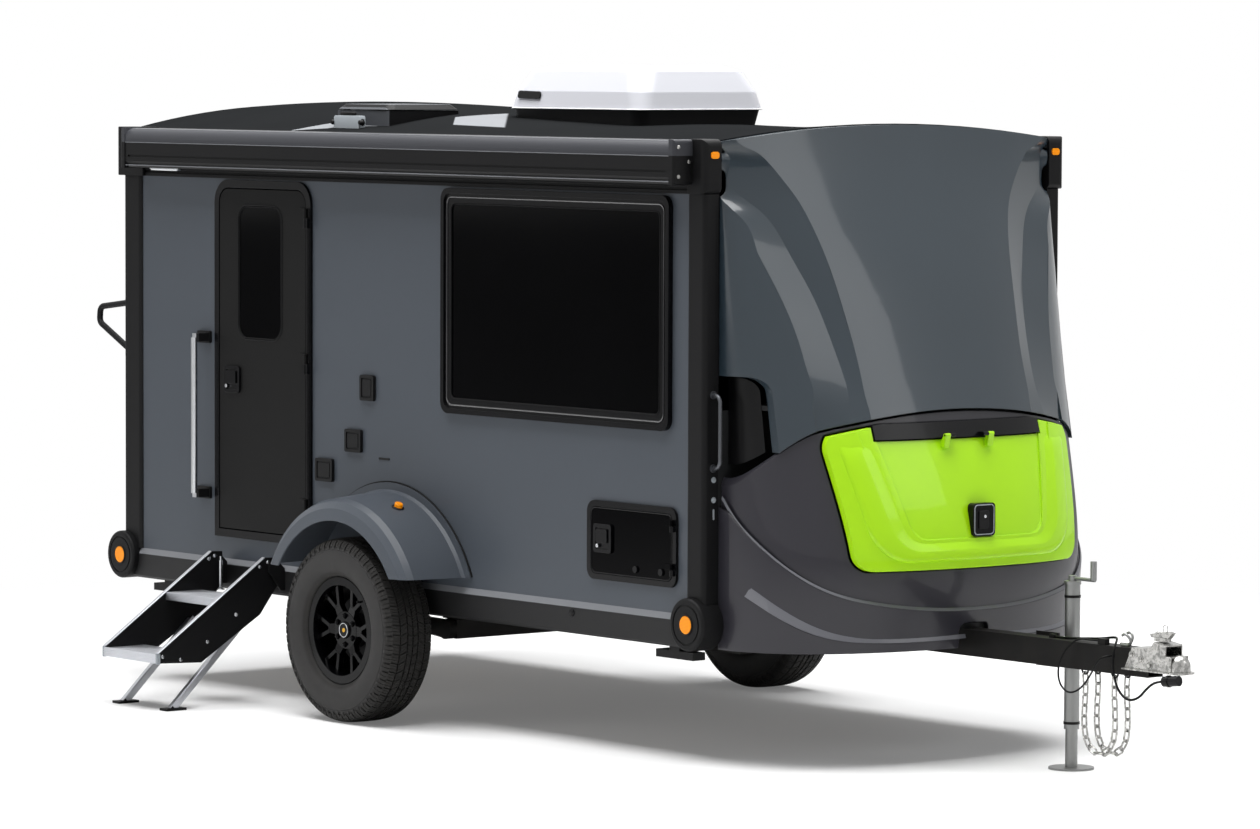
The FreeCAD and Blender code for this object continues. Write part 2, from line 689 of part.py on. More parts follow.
def front_lid():
    """Lid shell that follows the nose, a little proud of it, with a sunk middle panel and two hinge eyes."""
    outline = lid_prism(0).cut(seam_prism(SEAM_GAP + LID_STRIP + LID_GAP))
    shell = nose_loft(LID_PROUD).common(outline).cut(nose_loft(-LID_BEHIND))
    notch = box(NOSE_X, NOSE_X + 800, -BAR_HALF - BAR_GAP, BAR_HALF + BAR_GAP, BAR_Z0 - BAR_GAP, LID_TOP_Z + 60)
    shell = shell.cut(notch)
    for grow, depth in ((62, 5), (0, 11)):
        sunk = lid_sunk(grow)
        shell = shell.cut(sunk).fuse(shell.common(sunk).common(nose_loft(LID_PROUD - depth)))
    for side in (-1, 1):
        y0, y1 = sorted((side * 96.0, side * 122.0))
        eye = rod((LID_AXIS_X, y0, LID_AXIS_Z), (LID_AXIS_X, y1, LID_AXIS_Z), KNUCKLE_R)
        web = polygon_prism([(LID_AXIS_X - 7, y0, LID_AXIS_Z), (LID_AXIS_X + 7, y0, LID_AXIS_Z),
                             (LID_AXIS_X - 2, y0, LID_AXIS_Z - 46), (LID_AXIS_X - 36, y0, LID_AXIS_Z - 46)],
                            (0, y1 - y0, 0))
        shell = shell.fuse(eye.fuse(web))
        shell = shell.cut(rod((LID_AXIS_X, y0 - 30, LID_AXIS_Z), (LID_AXIS_X, y1 + 30, LID_AXIS_Z), PIN_R + PIN_CLEAR))
    return shell


def lid_bar():
    """Black bar above the lid notch; it carries the two hinge pins."""
    band = box(NOSE_X, NOSE_X + 800, -BAR_HALF, BAR_HALF, BAR_Z0, LID_TOP_Z + 60)
    band = band.common(lid_prism(LID_GAP - SEAT_GAP)).cut(seam_prism(SEAM_GAP + LID_STRIP + SEAT_GAP))
    bar = nose_loft(LID_PROUD - 2).common(band).cut(nose_loft(-NOSE_T))
    for side in (-1, 1):
        y0, y1 = sorted((side * 70.0, side * 95.0))
        barrel = rod((LID_AXIS_X, y0, LID_AXIS_Z), (LID_AXIS_X, y1, LID_AXIS_Z), KNUCKLE_R)
        arm = box(LID_AXIS_X - 48, LID_AXIS_X, y0, y1, LID_AXIS_Z - 5, LID_AXIS_Z + 7)
        pin = rod((LID_AXIS_X, side * 80.0, LID_AXIS_Z), (LID_AXIS_X, side * 121.0, LID_AXIS_Z), PIN_R)
        bar = bar.multiFuse([barrel, arm, pin])
    return bar


def nose_decks(inner):
    """Storage floor and the shelf above the front lid."""
    wide = NOSE_HALF_W
    low = inner.common(box(NOSE_X, NOSE_X + 800, -wide, wide, BEAM_Z1, BEAM_Z1 + 18))
    wide = POCKET_Y - 2
    high = nose_loft(-NOSE_T - 0.5).common(box(NOSE_X, NOSE_X + 800, -wide, wide, SEAM_MID_Z + 6, SEAM_MID_Z + 24))
    high = high.cut(cap_groove(-1, 22, 24)).cut(cap_groove(1, 22, 24))
    return Part.Compound([low, high])


def nose_handles():
    """Curved bright grips on the front posts beside the hand recesses."""
    y = -852.0
    reach = 42.0
    pts = [(FRONT_X, y, 1112), (FRONT_X + reach, y, 1112), (FRONT_X + reach, y, 1385), (FRONT_X, y, 1385)]
    body, _, _ = pipe(pts, fixed_bend(30.0), 7.5)
    parts = [body]
    for z in (1112, 1385):
        parts.append(rod((FRONT_X, y, z), (FRONT_X + 6, y, z), 15))
    return Part.Compound(both_sides(fuse(parts)))


# Doors, window and hatch

def door_frame():
    outer = side_prism(DOOR_X0, DOOR_X1, DOOR_Z0, DOOR_Z1, -WALL_OUT - FRAME_PROUD, -WALL_OUT + WALL_T,
                       (0, 0, DOOR_TOP_R, DOOR_TOP_R))
    w = DOOR_FRAME_W
    inner = side_prism(DOOR_X0 + w, DOOR_X1 - w, DOOR_Z0 + w, DOOR_Z1 - w, -HALF_W - 40, -HALF_W + 120,
                       (0, 0, DOOR_TOP_R - w, DOOR_TOP_R - w))
    frame = outer.cut(inner)
    parts = [frame]
    for z in door_hinge_heights():
        x = DOOR_AXIS_X
        y = DOOR_AXIS_Y
        barrel = knuckle(x, y, z, z + 40, False)
        strap = box(x, DOOR_X1 - 2, y - 3, -WALL_OUT - FRAME_PROUD, z, z + 40)
        pin = rod((x, y, z), (x, y, z + 78), PIN_R)
        parts += [barrel, strap, pin]
    return fuse(parts)


def door_hinge_heights():
    return (760.0, 1350.0, 1940.0)


def entry_door():
    w = DOOR_FRAME_W + DOOR_CLEAR
    r = DOOR_TOP_R - w
    leaf = side_prism(DOOR_X0 + w, DOOR_X1 - w, DOOR_Z0 + w, DOOR_Z1 - w, -DOOR_LEAF_OUT,
                      -DOOR_LEAF_OUT + DOOR_LEAF_T, (0, 0, r, r))
    x0, x1, z0, z1 = DOOR_WIN
    hole = side_prism(x0 + 24, x1 - 24, z0 + 24, z1 - 24, -HALF_W - 40, -HALF_W + 120, DOOR_WIN_R - 24)
    recess = side_prism(x0, x1, z0, z1, -DOOR_LEAF_OUT - 1, -DOOR_LEAF_OUT + 8, DOOR_WIN_R)
    leaf = leaf.cut(hole).cut(recess)
    parts = [leaf]
    for z in door_hinge_heights():
        x = DOOR_AXIS_X
        y = DOOR_AXIS_Y
        barrel = knuckle(x, y, z + 41, z + 80, True)
        strap = box(x - 52, x, y + PIN_R + 1, y + PIN_R + 5, z + 41, z + 80).cut(
            rod((x, y, z), (x, y, z + 90), KNUCKLE_R - 0.5))
        foot = box(x - 52, DOOR_X1 - w, y + PIN_R + 1, -DOOR_LEAF_OUT, z + 41, z + 80).cut(
            rod((x, y, z), (x, y, z + 90), KNUCKLE_R - 0.5))
        parts += [barrel, strap, foot]
    return fuse(parts)


def door_window():
    x0, x1, z0, z1 = DOOR_WIN
    g = SEAT_GAP
    return side_prism(x0 + g, x1 - g, z0 + g, z1 - g, -DOOR_LEAF_OUT + 2, -DOOR_LEAF_OUT + 8 - g, DOOR_WIN_R - g)


def paddle_latch(x, z, face):
    """Square plate with a dished middle and a paddle in it."""
    plate = side_prism(x, x + 108, z, z + 110, face - 9, face, 14)
    cup = side_prism(x + 13, x + 95, z + 14, z + 96, face - 10, face - 4, 8)
    paddle = side_prism(x + 20, x + 88, z + 38, z + 90, face - 14, face - 3, 8)
    return fuse([plate.cut(cup), paddle])


def door_latch():
    return paddle_latch(DOOR_LATCH_X, DOOR_LATCH_Z, -DOOR_LEAF_OUT)


def window_frame():
    x0, x1, z0, z1 = WIN
    face = -WALL_OUT
    outer = side_prism(x0, x1, z0, z1, face - WIN_PROUD, face, WIN_R)
    step = side_prism(x0 + 20, x1 - 20, z0 + 20, z1 - 20, face - WIN_PROUD - 1, face - WIN_PROUD + 8, WIN_R - 12)
    hole = side_prism(x0 + WIN_RIM, x1 - WIN_RIM, z0 + WIN_RIM, z1 - WIN_RIM, face - 60, face + 60, WIN_R - 22)
    i = WIN_RIM - 24 + SEAT_GAP
    lining = side_prism(x0 + i, x1 - i, z0 + i, z1 - i, face, face + WALL_T, WIN_R)
    return fuse([outer, lining]).cut(step).cut(hole)


def window_pane():
    x0, x1, z0, z1 = WIN
    i = WIN_RIM + SEAT_GAP
    face = -WALL_OUT
    return side_prism(x0 + i, x1 - i, z0 + i, z1 - i, face - WIN_PROUD + 12, face - WIN_PROUD + 18, WIN_R - 22)


def hatch_frame():
    x0, x1, z0, z1 = HATCH
    face = -WALL_OUT
    outer = side_prism(x0, x1, z0, z1, face - FRAME_PROUD, face, HATCH_R)
    i = HATCH_RIM - 8 + SEAT_GAP
    lining = side_prism(x0 + i, x1 - i, z0 + i, z1 - i, face, face + WALL_T, HATCH_R - 8)
    w = HATCH_RIM
    hole = side_prism(x0 + w, x1 - w, z0 + w, z1 - w, face - 60, face + 60, HATCH_R - 14)
    parts = [fuse([outer, lining]).cut(hole)]
    for z in hatch_hinge_heights():
        barrel = knuckle(HATCH_AXIS_X, HATCH_AXIS_Y, z, z + 22, False)
        strap = box(HATCH_AXIS_X, x1 - 2, HATCH_AXIS_Y - 3, face - FRAME_PROUD, z, z + 22)
        pin = rod((HATCH_AXIS_X, HATCH_AXIS_Y, z), (HATCH_AXIS_X, HATCH_AXIS_Y, z + 43), PIN_R)
        parts += [barrel, strap, pin]
    return fuse(parts)


def hatch_hinge_heights():
    return (700.0, 865.0)


def hatch_door():
    x0, x1, z0, z1 = HATCH
    w = HATCH_RIM + DOOR_CLEAR
    out = -WALL_OUT - FRAME_PROUD + 1
    leaf = side_prism(x0 + w, x1 - w, z0 + w, z1 - w, out, out + 34, HATCH_R - 18)
    x = HATCH_AXIS_X
    y = HATCH_AXIS_Y
    parts = [leaf]
    for z in hatch_hinge_heights():
        barrel = knuckle(x, y, z + 23, z + 45, True)
        strap = box(x - 46, x, y + PIN_R + 1, out, z + 23, z + 45).cut(rod((x, y, z), (x, y, z + 60), KNUCKLE_R - 0.5))
        strap = strap.common(box(x - 46, x1 - w, y - 20, out, z, z + 60).fuse(
            box(x - 46, x, y + PIN_R, y + PIN_R + 5, z, z + 60)))
        parts += [barrel, strap]
    return fuse(parts)


def hatch_latch():
    """Paddle latch and the two small locks beside it."""
    out = -WALL_OUT - FRAME_PROUD + 1
    made = [paddle_latch(HATCH_LATCH_X, HATCH_LATCH_Z, out)]
    for x in (3445.0, 3597.0):
        made.append(rod((x, out, 709), (x, out - 7, 709), 13))
    return Part.Compound(made)


def inlet_ports():
    face = -WALL_OUT
    made = []
    for x0, x1, z0, z1 in ((1679, 1772, 1261, 1364), (1576, 1685, 1050, 1142), (1374, 1490, 921, 1014)):
        body = side_prism(x0, x1, z0, z1, face - 14, face, 10)
        dish = side_prism(x0 + 12, x1 - 12, z0 + 12, z1 - 12, face - 15, face - 9, 6)
        flap = side_prism(x0 + 18, x1 - 18, z0 + 18, z1 - 18, face - 13, face - 8, 5)
        made.append(fuse([body.cut(dish), flap]))
    made.append(side_prism(1795, 1865, 1030, 1038, face - 3, face, 3))
    return Part.Compound(made)


def grab_handle():
    x = 605.0
    out = -HALF_W - 64
    bar = rod((x, out, 826), (x, out, 1471), 14)
    parts = [bar]
    for z0 in (800.0, 1446.0):
        foot = side_prism(532, 624, z0, z0 + 50, -WALL_OUT - 12, -WALL_OUT, 8)
        arm = box(591, 619, out, -WALL_OUT, z0 + 8, z0 + 42)
        parts += [foot, arm]
    return fuse(parts)


# Awning and roof fittings

def awning_cassette():
    back = -HALF_W
    out = back - AWNING_OUT
    z0 = AWNING_Z0
    z1 = AWNING_Z1
    x = AWNING_X0
    lip = 26.0
    top_r = 44.0
    start = V(x, back, z0 + 10)
    pts = [start, V(x, back, z1), V(x, out + top_r, z1)]
    mid = V(x, out + top_r * (1 - math.sqrt(0.5)), z1 - top_r * (1 - math.sqrt(0.5)))
    end = V(x, out, z1 - top_r)
    low = V(x, out, z0 + lip)
    toe = V(x, out + 14, z0)
    heel = V(x, back - 18, z0)
    edges = [Part.makeLine(pts[0], pts[1]), Part.makeLine(pts[1], pts[2]), Part.Arc(pts[2], mid, end).toShape(),
             Part.makeLine(end, low), Part.makeLine(low, toe), Part.makeLine(toe, heel),
             Part.makeLine(heel, start)]
    body = Part.Face(Part.Wire(edges)).extrude(V(AWNING_X1 - AWNING_X0, 0, 0))
    groove = box(x + 20, AWNING_X1 - 20, out - 1, out + 5, z0 + 44, z0 + 52)
    under = box(x + 30, AWNING_X1 - 30, out + 22, back - 26, z0 - 1, z0 + 9)
    return body.cut(groove).cut(under)


def awning_end_caps():
    made = []
    back = -HALF_W - TOP_CAP_PROUD - SEAT_GAP
    for x0, x1 in ((AWNING_X0 - 30, AWNING_X0 - SEAT_GAP), (AWNING_X1 + SEAT_GAP, AWNING_X1 + 30)):
        cap = box(x0, x1, -HALF_W - AWNING_OUT - 3, back, AWNING_Z0 - 3, AWNING_Z1 + 3)
        free = x0 if x0 < AWNING_X0 - 1 else x1
        rim = [e for e in cap.Edges if abs(e.BoundBox.Center.x - free) < 1 and e.BoundBox.Center.y < back - 1]
        made.append(cap.makeFillet(12, rim))
    return made


def ac_wire(z, inset, r):
    x0, x1, y0, y1 = AC
    edges, lines = rounded_points(x0 + inset, x1 - inset, y0 + inset, y1 - inset, (r,) * 4)
    made = [Part.Arc(*[V(u, w, z) for u, w in pts]).toShape() for _, pts in edges]
    made += [Part.makeLine(V(a[0], a[1], z), V(b[0], b[1], z)) for _, (a, b) in lines]
    return Part.Wire(Part.__sortEdges__(made))


def ac_base():
    x0, x1, y0, y1 = AC
    base = Part.makeLoft([ac_wire(ROOF_CROWN_AC - 59, 26, 60), ac_wire(AC_SPLIT_Z, 10, 60)], True, True)
    under = roof_solid_over()
    return base.cut(under)


def roof_solid_over():
    """The roof's volume, a hair thicker, so that fittings sit on its curved skin."""
    half = POST_IN
    wires = []
    for x, crown in ROOF_STATIONS:
        top = Part.Arc(V(x, -half, arch_z(half, crown) + SEAT_GAP), V(x, 0, crown + SEAT_GAP),
                       V(x, half, arch_z(half, crown) + SEAT_GAP)).toShape()
        a = V(x, -half, EAVE_Z - 200)
        b = V(x, half, EAVE_Z - 200)
        wires.append(Part.Wire(Part.__sortEdges__([top, Part.makeLine(top.Vertexes[-1].Point, b), Part.makeLine(b, a),
                                                   Part.makeLine(a, top.Vertexes[0].Point)])))
    return Part.makeLoft(wires, True, False)


def ac_shroud():
    low = ac_wire(AC_SPLIT_Z, 0, 70)
    shoulder = ac_wire(AC_SPLIT_Z + AC_SHOULDER_H, 14, 80)
    rim = ac_wire(AC_TOP_Z - 22, 52, 90)
    body = Part.makeLoft([low, shoulder, rim], True, True)
    crown = Part.makeLoft([rim, ac_wire(AC_TOP_Z, 110, 90)], True, True)
    return fuse([body, crown])


def vent_hole(z0, z1):
    h = VENT_HALF - 30
    return box(VENT_X - h, VENT_X + h, VENT_Y - h, VENT_Y + h, z0, z1)


def vent_base():
    h = VENT_HALF
    ring = box(VENT_X - h, VENT_X + h, VENT_Y - h, VENT_Y + h, EAVE_Z, VENT_RIM_Z)
    seat = roof_panel()
    seat.translate(V(0, 0, SEAT_GAP))
    ring = ring.cut(vent_hole(EAVE_Z - 100, EAVE_Z + 300)).cut(seat)
    ring = max(ring.Solids, key=lambda part: part.BoundBox.ZMax)
    x = VENT_X - VENT_HALF - 22
    z = VENT_RIM_Z + 4
    parts = [ring]
    for side in (-1, 1):
        y = VENT_Y + side * 120
        ear = box(x - 8, VENT_X - VENT_HALF, y - 6, y + 6, z - 20, z - 4)
        parts += [ear, rod((x, y - 6, z), (x, y + 20, z), PIN_R), rod((x, y - 6, z), (x, y + 6, z), KNUCKLE_R)]
    return fuse(parts).cut(seat)


def vent_lid():
    h = VENT_HALF + 6
    z0 = VENT_RIM_Z + 5
    low = side_plan(VENT_X - h, VENT_X + h, VENT_Y - h, VENT_Y + h, z0, 34)
    high = side_plan(VENT_X - h + 22, VENT_X + h - 22, VENT_Y - h + 22, VENT_Y + h - 22, z0 + 20, 30)
    parts = [Part.makeLoft([low, high], True, True)]
    x = VENT_X - VENT_HALF - 22
    z = VENT_RIM_Z + 4
    for side in (-1, 1):
        y = VENT_Y + side * 120
        eye = rod((x, y + 7, z), (x, y + 19, z), KNUCKLE_R)
        arm = box(x, VENT_X - h + 30, y + 7, y + 19, z + 1, z + 7)
        parts.append(fuse([eye, arm]).cut(rod((x, y - 20, z), (x, y + 30, z), PIN_R + PIN_CLEAR)))
    return fuse(parts)


def side_plan(x0, x1, y0, y1, z, r):
    edges, lines = rounded_points(x0, x1, y0, y1, (r,) * 4)
    made = [Part.Arc(*[V(u, w, z) for u, w in pts]).toShape() for _, pts in edges]
    made += [Part.makeLine(V(a[0], a[1], z), V(b[0], b[1], z)) for _, (a, b) in lines]
    return Part.Wire(Part.__sortEdges__(made))


# Chassis, axle and wheels

def hollow_x(x0, x1, y0, y1, z0, z1, t):
    return box(x0, x1, y0, y1, z0, z1).cut(box(x0 - 1, x1 + 1, y0 + t, y1 - t, z0 + t, z1 - t))


def chassis_frame():
    rail = box(REAR_X + WALL_T, FRONT_X - WALL_T, -RAIL_Y - RAIL_W, -RAIL_Y, BEAM_Z0, BEAM_Z1)
    parts = both_sides(rail)
    for x in CROSS_X:
        if x > 2700:
            cross = box(x - CROSS_W / 2, x + CROSS_W / 2, -RAIL_Y, -TONGUE_W / 2, BEAM_Z0, BEAM_Z1)
            parts += both_sides(cross)
        else:
            parts.append(box(x - CROSS_W / 2, x + CROSS_W / 2, -RAIL_Y, RAIL_Y, BEAM_Z0, BEAM_Z1))
    for x in (CROSS_X[0], CROSS_X[2], CROSS_X[4], CROSS_X[6]):
        arm = box(x - CROSS_W / 2, x + CROSS_W / 2, -POST_IN, -RAIL_Y - RAIL_W, BEAM_Z0 + 40, BEAM_Z1)
        parts += both_sides(arm)
    return fuse(parts + [box(CROSS_X[3], CROSS_X[3] + 60, -TONGUE_W / 2 - 20, TONGUE_W / 2 + 20, BEAM_Z0, BEAM_Z1)])


def tongue_beam():
    """Square tube from the middle of the frame, with four eyes under it for the safety chains."""
    x0 = CROSS_X[3] + 60
    tube = hollow_x(x0, TONGUE_END_X, -TONGUE_W / 2, TONGUE_W / 2, BEAM_Z0, BEAM_Z1, TUBE_T)
    under = box(x0, TONGUE_END_X, -TONGUE_W, TONGUE_W, BEAM_Z0 - 60, BEAM_Z0)
    parts = [tube]
    for x, y in [(x, -CHAIN_Y) for x in CHAIN_NEAR_X] + [(x, CHAIN_Y) for x in CHAIN_FAR_X]:
        ring = Part.makeTorus(CHAIN_EYE_R, CHAIN_WIRE_R, V(x, y, BEAM_Z0), V(0, 1, 0))
        parts.append(ring.common(under))
    clip = box(WIRING_X - 24, WIRING_X, -9, 9, BEAM_Z1, BEAM_Z1 + 14)
    switch = box(SWITCH_X, SWITCH_X + 40, -34, -12, BEAM_Z1, BEAM_Z1 + 22)
    boss = rod((5150, -TONGUE_W / 2, BEAM_Z1 - 34), (5150, -TONGUE_W / 2 - 6, BEAM_Z1 - 34), 7)
    return fuse(parts + [clip, switch, boss])


def axle_beam():
    """Torsion axle: square beam under the rails, trailing arms and spindles."""
    x = WHEEL_X + AXLE_LEAD
    h = AXLE_BEAM / 2
    beam_y = RAIL_Y + 60
    z_top = BEAM_Z0 - 8
    beam = box(x - h, x + h, -beam_y, beam_y, z_top - AXLE_BEAM, z_top)
    pads = both_sides(box(x - 70, x + 70, -RAIL_Y - RAIL_W, -RAIL_Y, z_top, BEAM_Z0))
    return fuse([beam] + pads + both_sides(trailing_arm()))


def trailing_arm():
    x = WHEEL_X + AXLE_LEAD
    z_beam = BEAM_Z0 - 8 - AXLE_BEAM / 2
    y0 = -RAIL_Y - 60
    y1 = y0 - 34
    a = rod((x, y0, z_beam), (x, y1, z_beam), 40)
    b = rod((WHEEL_X, y0, TYRE_R), (WHEEL_X, y1, TYRE_R), 34)
    web = polygon_prism([(x, y0, z_beam + 36), (WHEEL_X, y0, TYRE_R + 31), (WHEEL_X, y0, TYRE_R - 31),
                         (x, y0, z_beam - 36)], (0, y1 - y0, 0))
    spindle = rod((WHEEL_X, y1, TYRE_R), (WHEEL_X, -TRACK_HALF - 14, TYRE_R), SPINDLE_R)
    return fuse([a, b, web, spindle])


def revolve_y(profile, x, z):
    """Turns (y, r) points about the wheel axis."""
    pts = [V(x, y, z + r) for y, r in profile]
    wire = Part.makePolygon(pts + [pts[0]])
    return Part.Face(wire).revolve(V(x, 0, z), V(0, 1, 0), 360)


def tyre():
    c = -TRACK_HALF
    h = TYRE_W / 2
    r0 = RIM_R + 1
    bead = RIM_W / 2 - 10.5
    profile = [(c - bead, r0), (c - bead, RIM_LIP_R + 2), (c - 104, r0 + 44), (c - h, r0 + 84),
               (c - h + 3, TYRE_R - 52), (c - h + 16, TYRE_R - 20), (c - h + 32, TYRE_R - 4), (c - 48, TYRE_R),
               (c + 48, TYRE_R), (c + h - 32, TYRE_R - 4), (c + h - 16, TYRE_R - 20), (c + h - 3, TYRE_R - 52),
               (c + h, r0 + 84), (c + 104, r0 + 44), (c + bead, RIM_LIP_R + 2), (c + bead, r0)]
    return revolve_y(profile, WHEEL_X, TYRE_R)


def rim():
    """Cast wheel: a barrel and six forked spokes round a bored hub."""
    c = -TRACK_HALF
    h = RIM_W / 2
    barrel = revolve_y([(c - h, RIM_R - 10), (c - h, RIM_LIP_R), (c - h + 7, RIM_LIP_R), (c - h + 10, RIM_R),
                        (c + h - 10, RIM_R), (c + h - 7, RIM_LIP_R), (c + h, RIM_LIP_R), (c + h, RIM_R - 10),
                        (c - h + 22, RIM_R - 14)], WHEEL_X, TYRE_R)
    face = c - 62
    hub = rod((WHEEL_X, face, TYRE_R), (WHEEL_X, face + 34, TYRE_R), 74)
    parts = [barrel, hub]
    x = WHEEL_X
    z = TYRE_R
    for i in range(SPOKES):
        stem = polygon_prism([(x + 62, face + 2, z - 23), (x + 112, face - 2, z - 17), (x + 112, face - 2, z + 17),
                              (x + 62, face + 2, z + 23)], (0, 24, 0))
        made = [stem]
        for split in (-1, 1):
            made.append(polygon_prism([(x + 104, face - 2, z + split * 2), (x + RIM_R - 8, face - 6, z + split * 36),
                                       (x + RIM_R - 8, face - 6, z + split * 55), (x + 104, face - 2, z + split * 19)],
                                      (0, 24, 0)))
        for spoke in made:
            spoke.rotate(V(x, 0, z), V(0, 1, 0), 360.0 / SPOKES * i)
            parts.append(spoke)
    solid = fuse(parts).cut(rod((x, face - 20, z), (x, face + 26, z), 34))
    for i in range(SPOKES):
        a = math.radians(360.0 / SPOKES * (i + 0.5))
        nut_x = x + 57 * math.cos(a)
        nut_z = z + 57 * math.sin(a)
        solid = solid.cut(rod((nut_x, face - 1, nut_z), (nut_x, face + 12, nut_z), 12))
    return solid


def wheel_cap():
    c = -TRACK_HALF - 62
    cap = rod((WHEEL_X, c + 26 - SEAT_GAP, TYRE_R), (WHEEL_X, c - 8, TYRE_R), 34 - SEAT_GAP)
    return cap.makeFillet(6, [e for e in cap.Edges if abs(e.BoundBox.Center.y - c + 8) < 1 and e.Length > 100])


def hub_drum():
    c = -TRACK_HALF - 28
    inner = -HALF_W - 26
    drum = rod((WHEEL_X, inner, TYRE_R), (WHEEL_X, c + 26, TYRE_R), DRUM_BRAKE_R)
    face = rod((WHEEL_X, c + 26, TYRE_R), (WHEEL_X, c, TYRE_R), 70)
    bore = rod((WHEEL_X, inner + 1, TYRE_R), (WHEEL_X, -TRACK_HALF - 20, TYRE_R), SPINDLE_R + 1)
    return fuse([drum, face]).cut(bore)


def fender_profile():
    """Outer profile of the fender as pairs of place across and radius from the wheel's axis."""
    y0 = -WALL_OUT
    y1 = -FENDER_OUT_Y
    r = FENDER_R
    return [(y0, FENDER_FLANGE_R), (y0 - 12, FENDER_FLANGE_R), (y0 - 12, r + 26), (y0 - 26, r + 18),
            (y1 + 52, r), (y1 + 26, r - 12), (y1 + 8, r - 38), (y1, FENDER_LIP_R)]


def fender_form(grow):
    """The fender filled in to its axis, for cutting what sits on it."""
    profile = [(y, r + grow) for y, r in fender_profile()]
    return revolve_y(profile + [(-FENDER_OUT_Y, 100.0), (-WALL_OUT, 100.0)], WHEEL_X, TYRE_R - 7)


def fender():
    y0 = -WALL_OUT
    y1 = -FENDER_OUT_Y
    t = FENDER_T
    r = FENDER_R
    inside = [(y1 + t, FENDER_LIP_R), (y1 + 8 + t, r - 38 - t), (y1 + 28 + t, r - 12 - t), (y1 + 52, r - t),
              (y0, r + 18 - t)]
    ring = revolve_y(fender_profile() + inside, WHEEL_X, TYRE_R - 7)
    keep = box(WHEEL_X - 700, WHEEL_X + 700, y1 - 10, y0 + 10, FENDER_CUT_Z, WALL_TOP)
    return ring.common(keep)


# Coupler, jack, chains, hoop

def coupler():
    """Stamped channel that sleeves over the tongue and ends in the ball socket."""
    t = COUPLER_T
    h = TONGUE_W / 2 + SEAT_GAP + t
    z0 = COUPLER_Z0
    z1 = COUPLER_Z1
    seat_z = BEAM_Z1 + SEAT_GAP + t
    x0 = COUPLER_REAR_X
    x1 = BALL_X - 60
    outer = polygon_prism([(x0, -h, z0), (x1 + 30, -h, z0), (x1 + 30, -h, z1 - 8), (x1 - 30, -h, z1),
                           (TONGUE_END_X + 20, -h, seat_z + 8), (TONGUE_END_X - 30, -h, seat_z), (x0 + 40, -h, seat_z)],
                          (0, 2 * h, 0))
    inner = polygon_prism([(x0 - 1, -h + t, z0 - 1), (x1 + 40, -h + t, z0 - 1), (x1 + 40, -h + t, z1 - 10 - t),
                           (x1 - 30, -h + t, z1 - t), (TONGUE_END_X + 20, -h + t, seat_z + 8 - t),
                           (TONGUE_END_X - 30, -h + t, seat_z - t), (x0 - 1, -h + t, seat_z - t)],
                          (0, 2 * h - 2 * t, 0))
    dome = Part.makeSphere(BALL_R + 15, V(BALL_X, 0, z0 + 26)).fuse(
        rod((BALL_X, 0, z0), (BALL_X, 0, z0 + 26), BALL_R + 15))
    flange = rod((BALL_X, 0, z0), (BALL_X, 0, z0 + 6), COUPLER_TIP_X - BALL_X)
    neck = box(x1, BALL_X, -h, h, z0, z0 + 62)
    neck_inner = box(x1 - 1, BALL_X, -h + t, h - t, z0 - 1, z0 + 62 - t)
    rails = [box(x0, BALL_X, -h - 14, -h + 1, z0, z0 + 5), box(x0, BALL_X, h - 1, h + 14, z0, z0 + 5)]
    socket = Part.makeSphere(BALL_R + 1, V(BALL_X, 0, z0 + 26)).fuse(
        rod((BALL_X, 0, z0 - 40), (BALL_X, 0, z0 + 26), BALL_R + 1))
    return fuse([outer.cut(inner), neck.cut(neck_inner), dome, flange] + rails).cut(socket)


def coupler_latch():
    z = COUPLER_Z1 + SEAT_GAP
    x = BALL_X - 90
    base = box(x - 26, x + 30, -16, 16, z, z + 14)
    arm = polygon_prism([(x - 46, -11, z + 12), (x + 38, -11, z + 12), (x + 60, -11, z + 34), (x + 36, -11, z + 38),
                         (x - 56, -11, z + 24)], (0, 22, 0))
    return fuse([base, arm])


def chain_link():
    """One link on its side: two straight runs and two half rings of round wire."""
    r = CHAIN_WIRE_R
    half = CHAIN_LINK_W / 2 - r
    run = CHAIN_LINK_L / 2 - r - half
    parts = []
    for end in (-1, 1):
        bend = Part.makeTorus(half, r, V(end * run, 0, 0), V(0, 0, 1))
        keep = box(min(end * run, end * 90), max(end * run, end * 90), -60, 60, -20, 20)
        parts.append(bend.common(keep))
        parts.append(rod((-run, end * half, 0), (run, end * half, 0), r))
    return fuse(parts)


def hanging_chain(points, bend_z):
    """Links threaded along a hanging line, each turned a quarter from the one before, looser in the bend."""
    path = Part.BSplineCurve()
    path.interpolate([V(*p) for p in points])
    taut = CHAIN_LINK_L - 4 * CHAIN_WIRE_R
    places = [V(*points[0])]
    for q in path.discretize(Number=6000):
        slack = CHAIN_BEND_SLACK if q.z < bend_z else CHAIN_SLACK
        if (q - places[-1]).Length >= taut - slack:
            places.append(q)
    link = chain_link()
    made = []
    for i in range(len(places) - 1):
        a = places[i]
        b = places[i + 1]
        piece = link.copy()
        piece.rotate(V(0, 0, 0), V(1, 0, 0), 90 if i % 2 else 0)
        turn = FreeCAD.Rotation(V(1, 0, 0), (b - a).normalize())
        piece.Placement = FreeCAD.Placement((a + b) / 2, turn).multiply(piece.Placement)
        made.append(piece)
    return made, (points[-1][2] - places[-1].z)


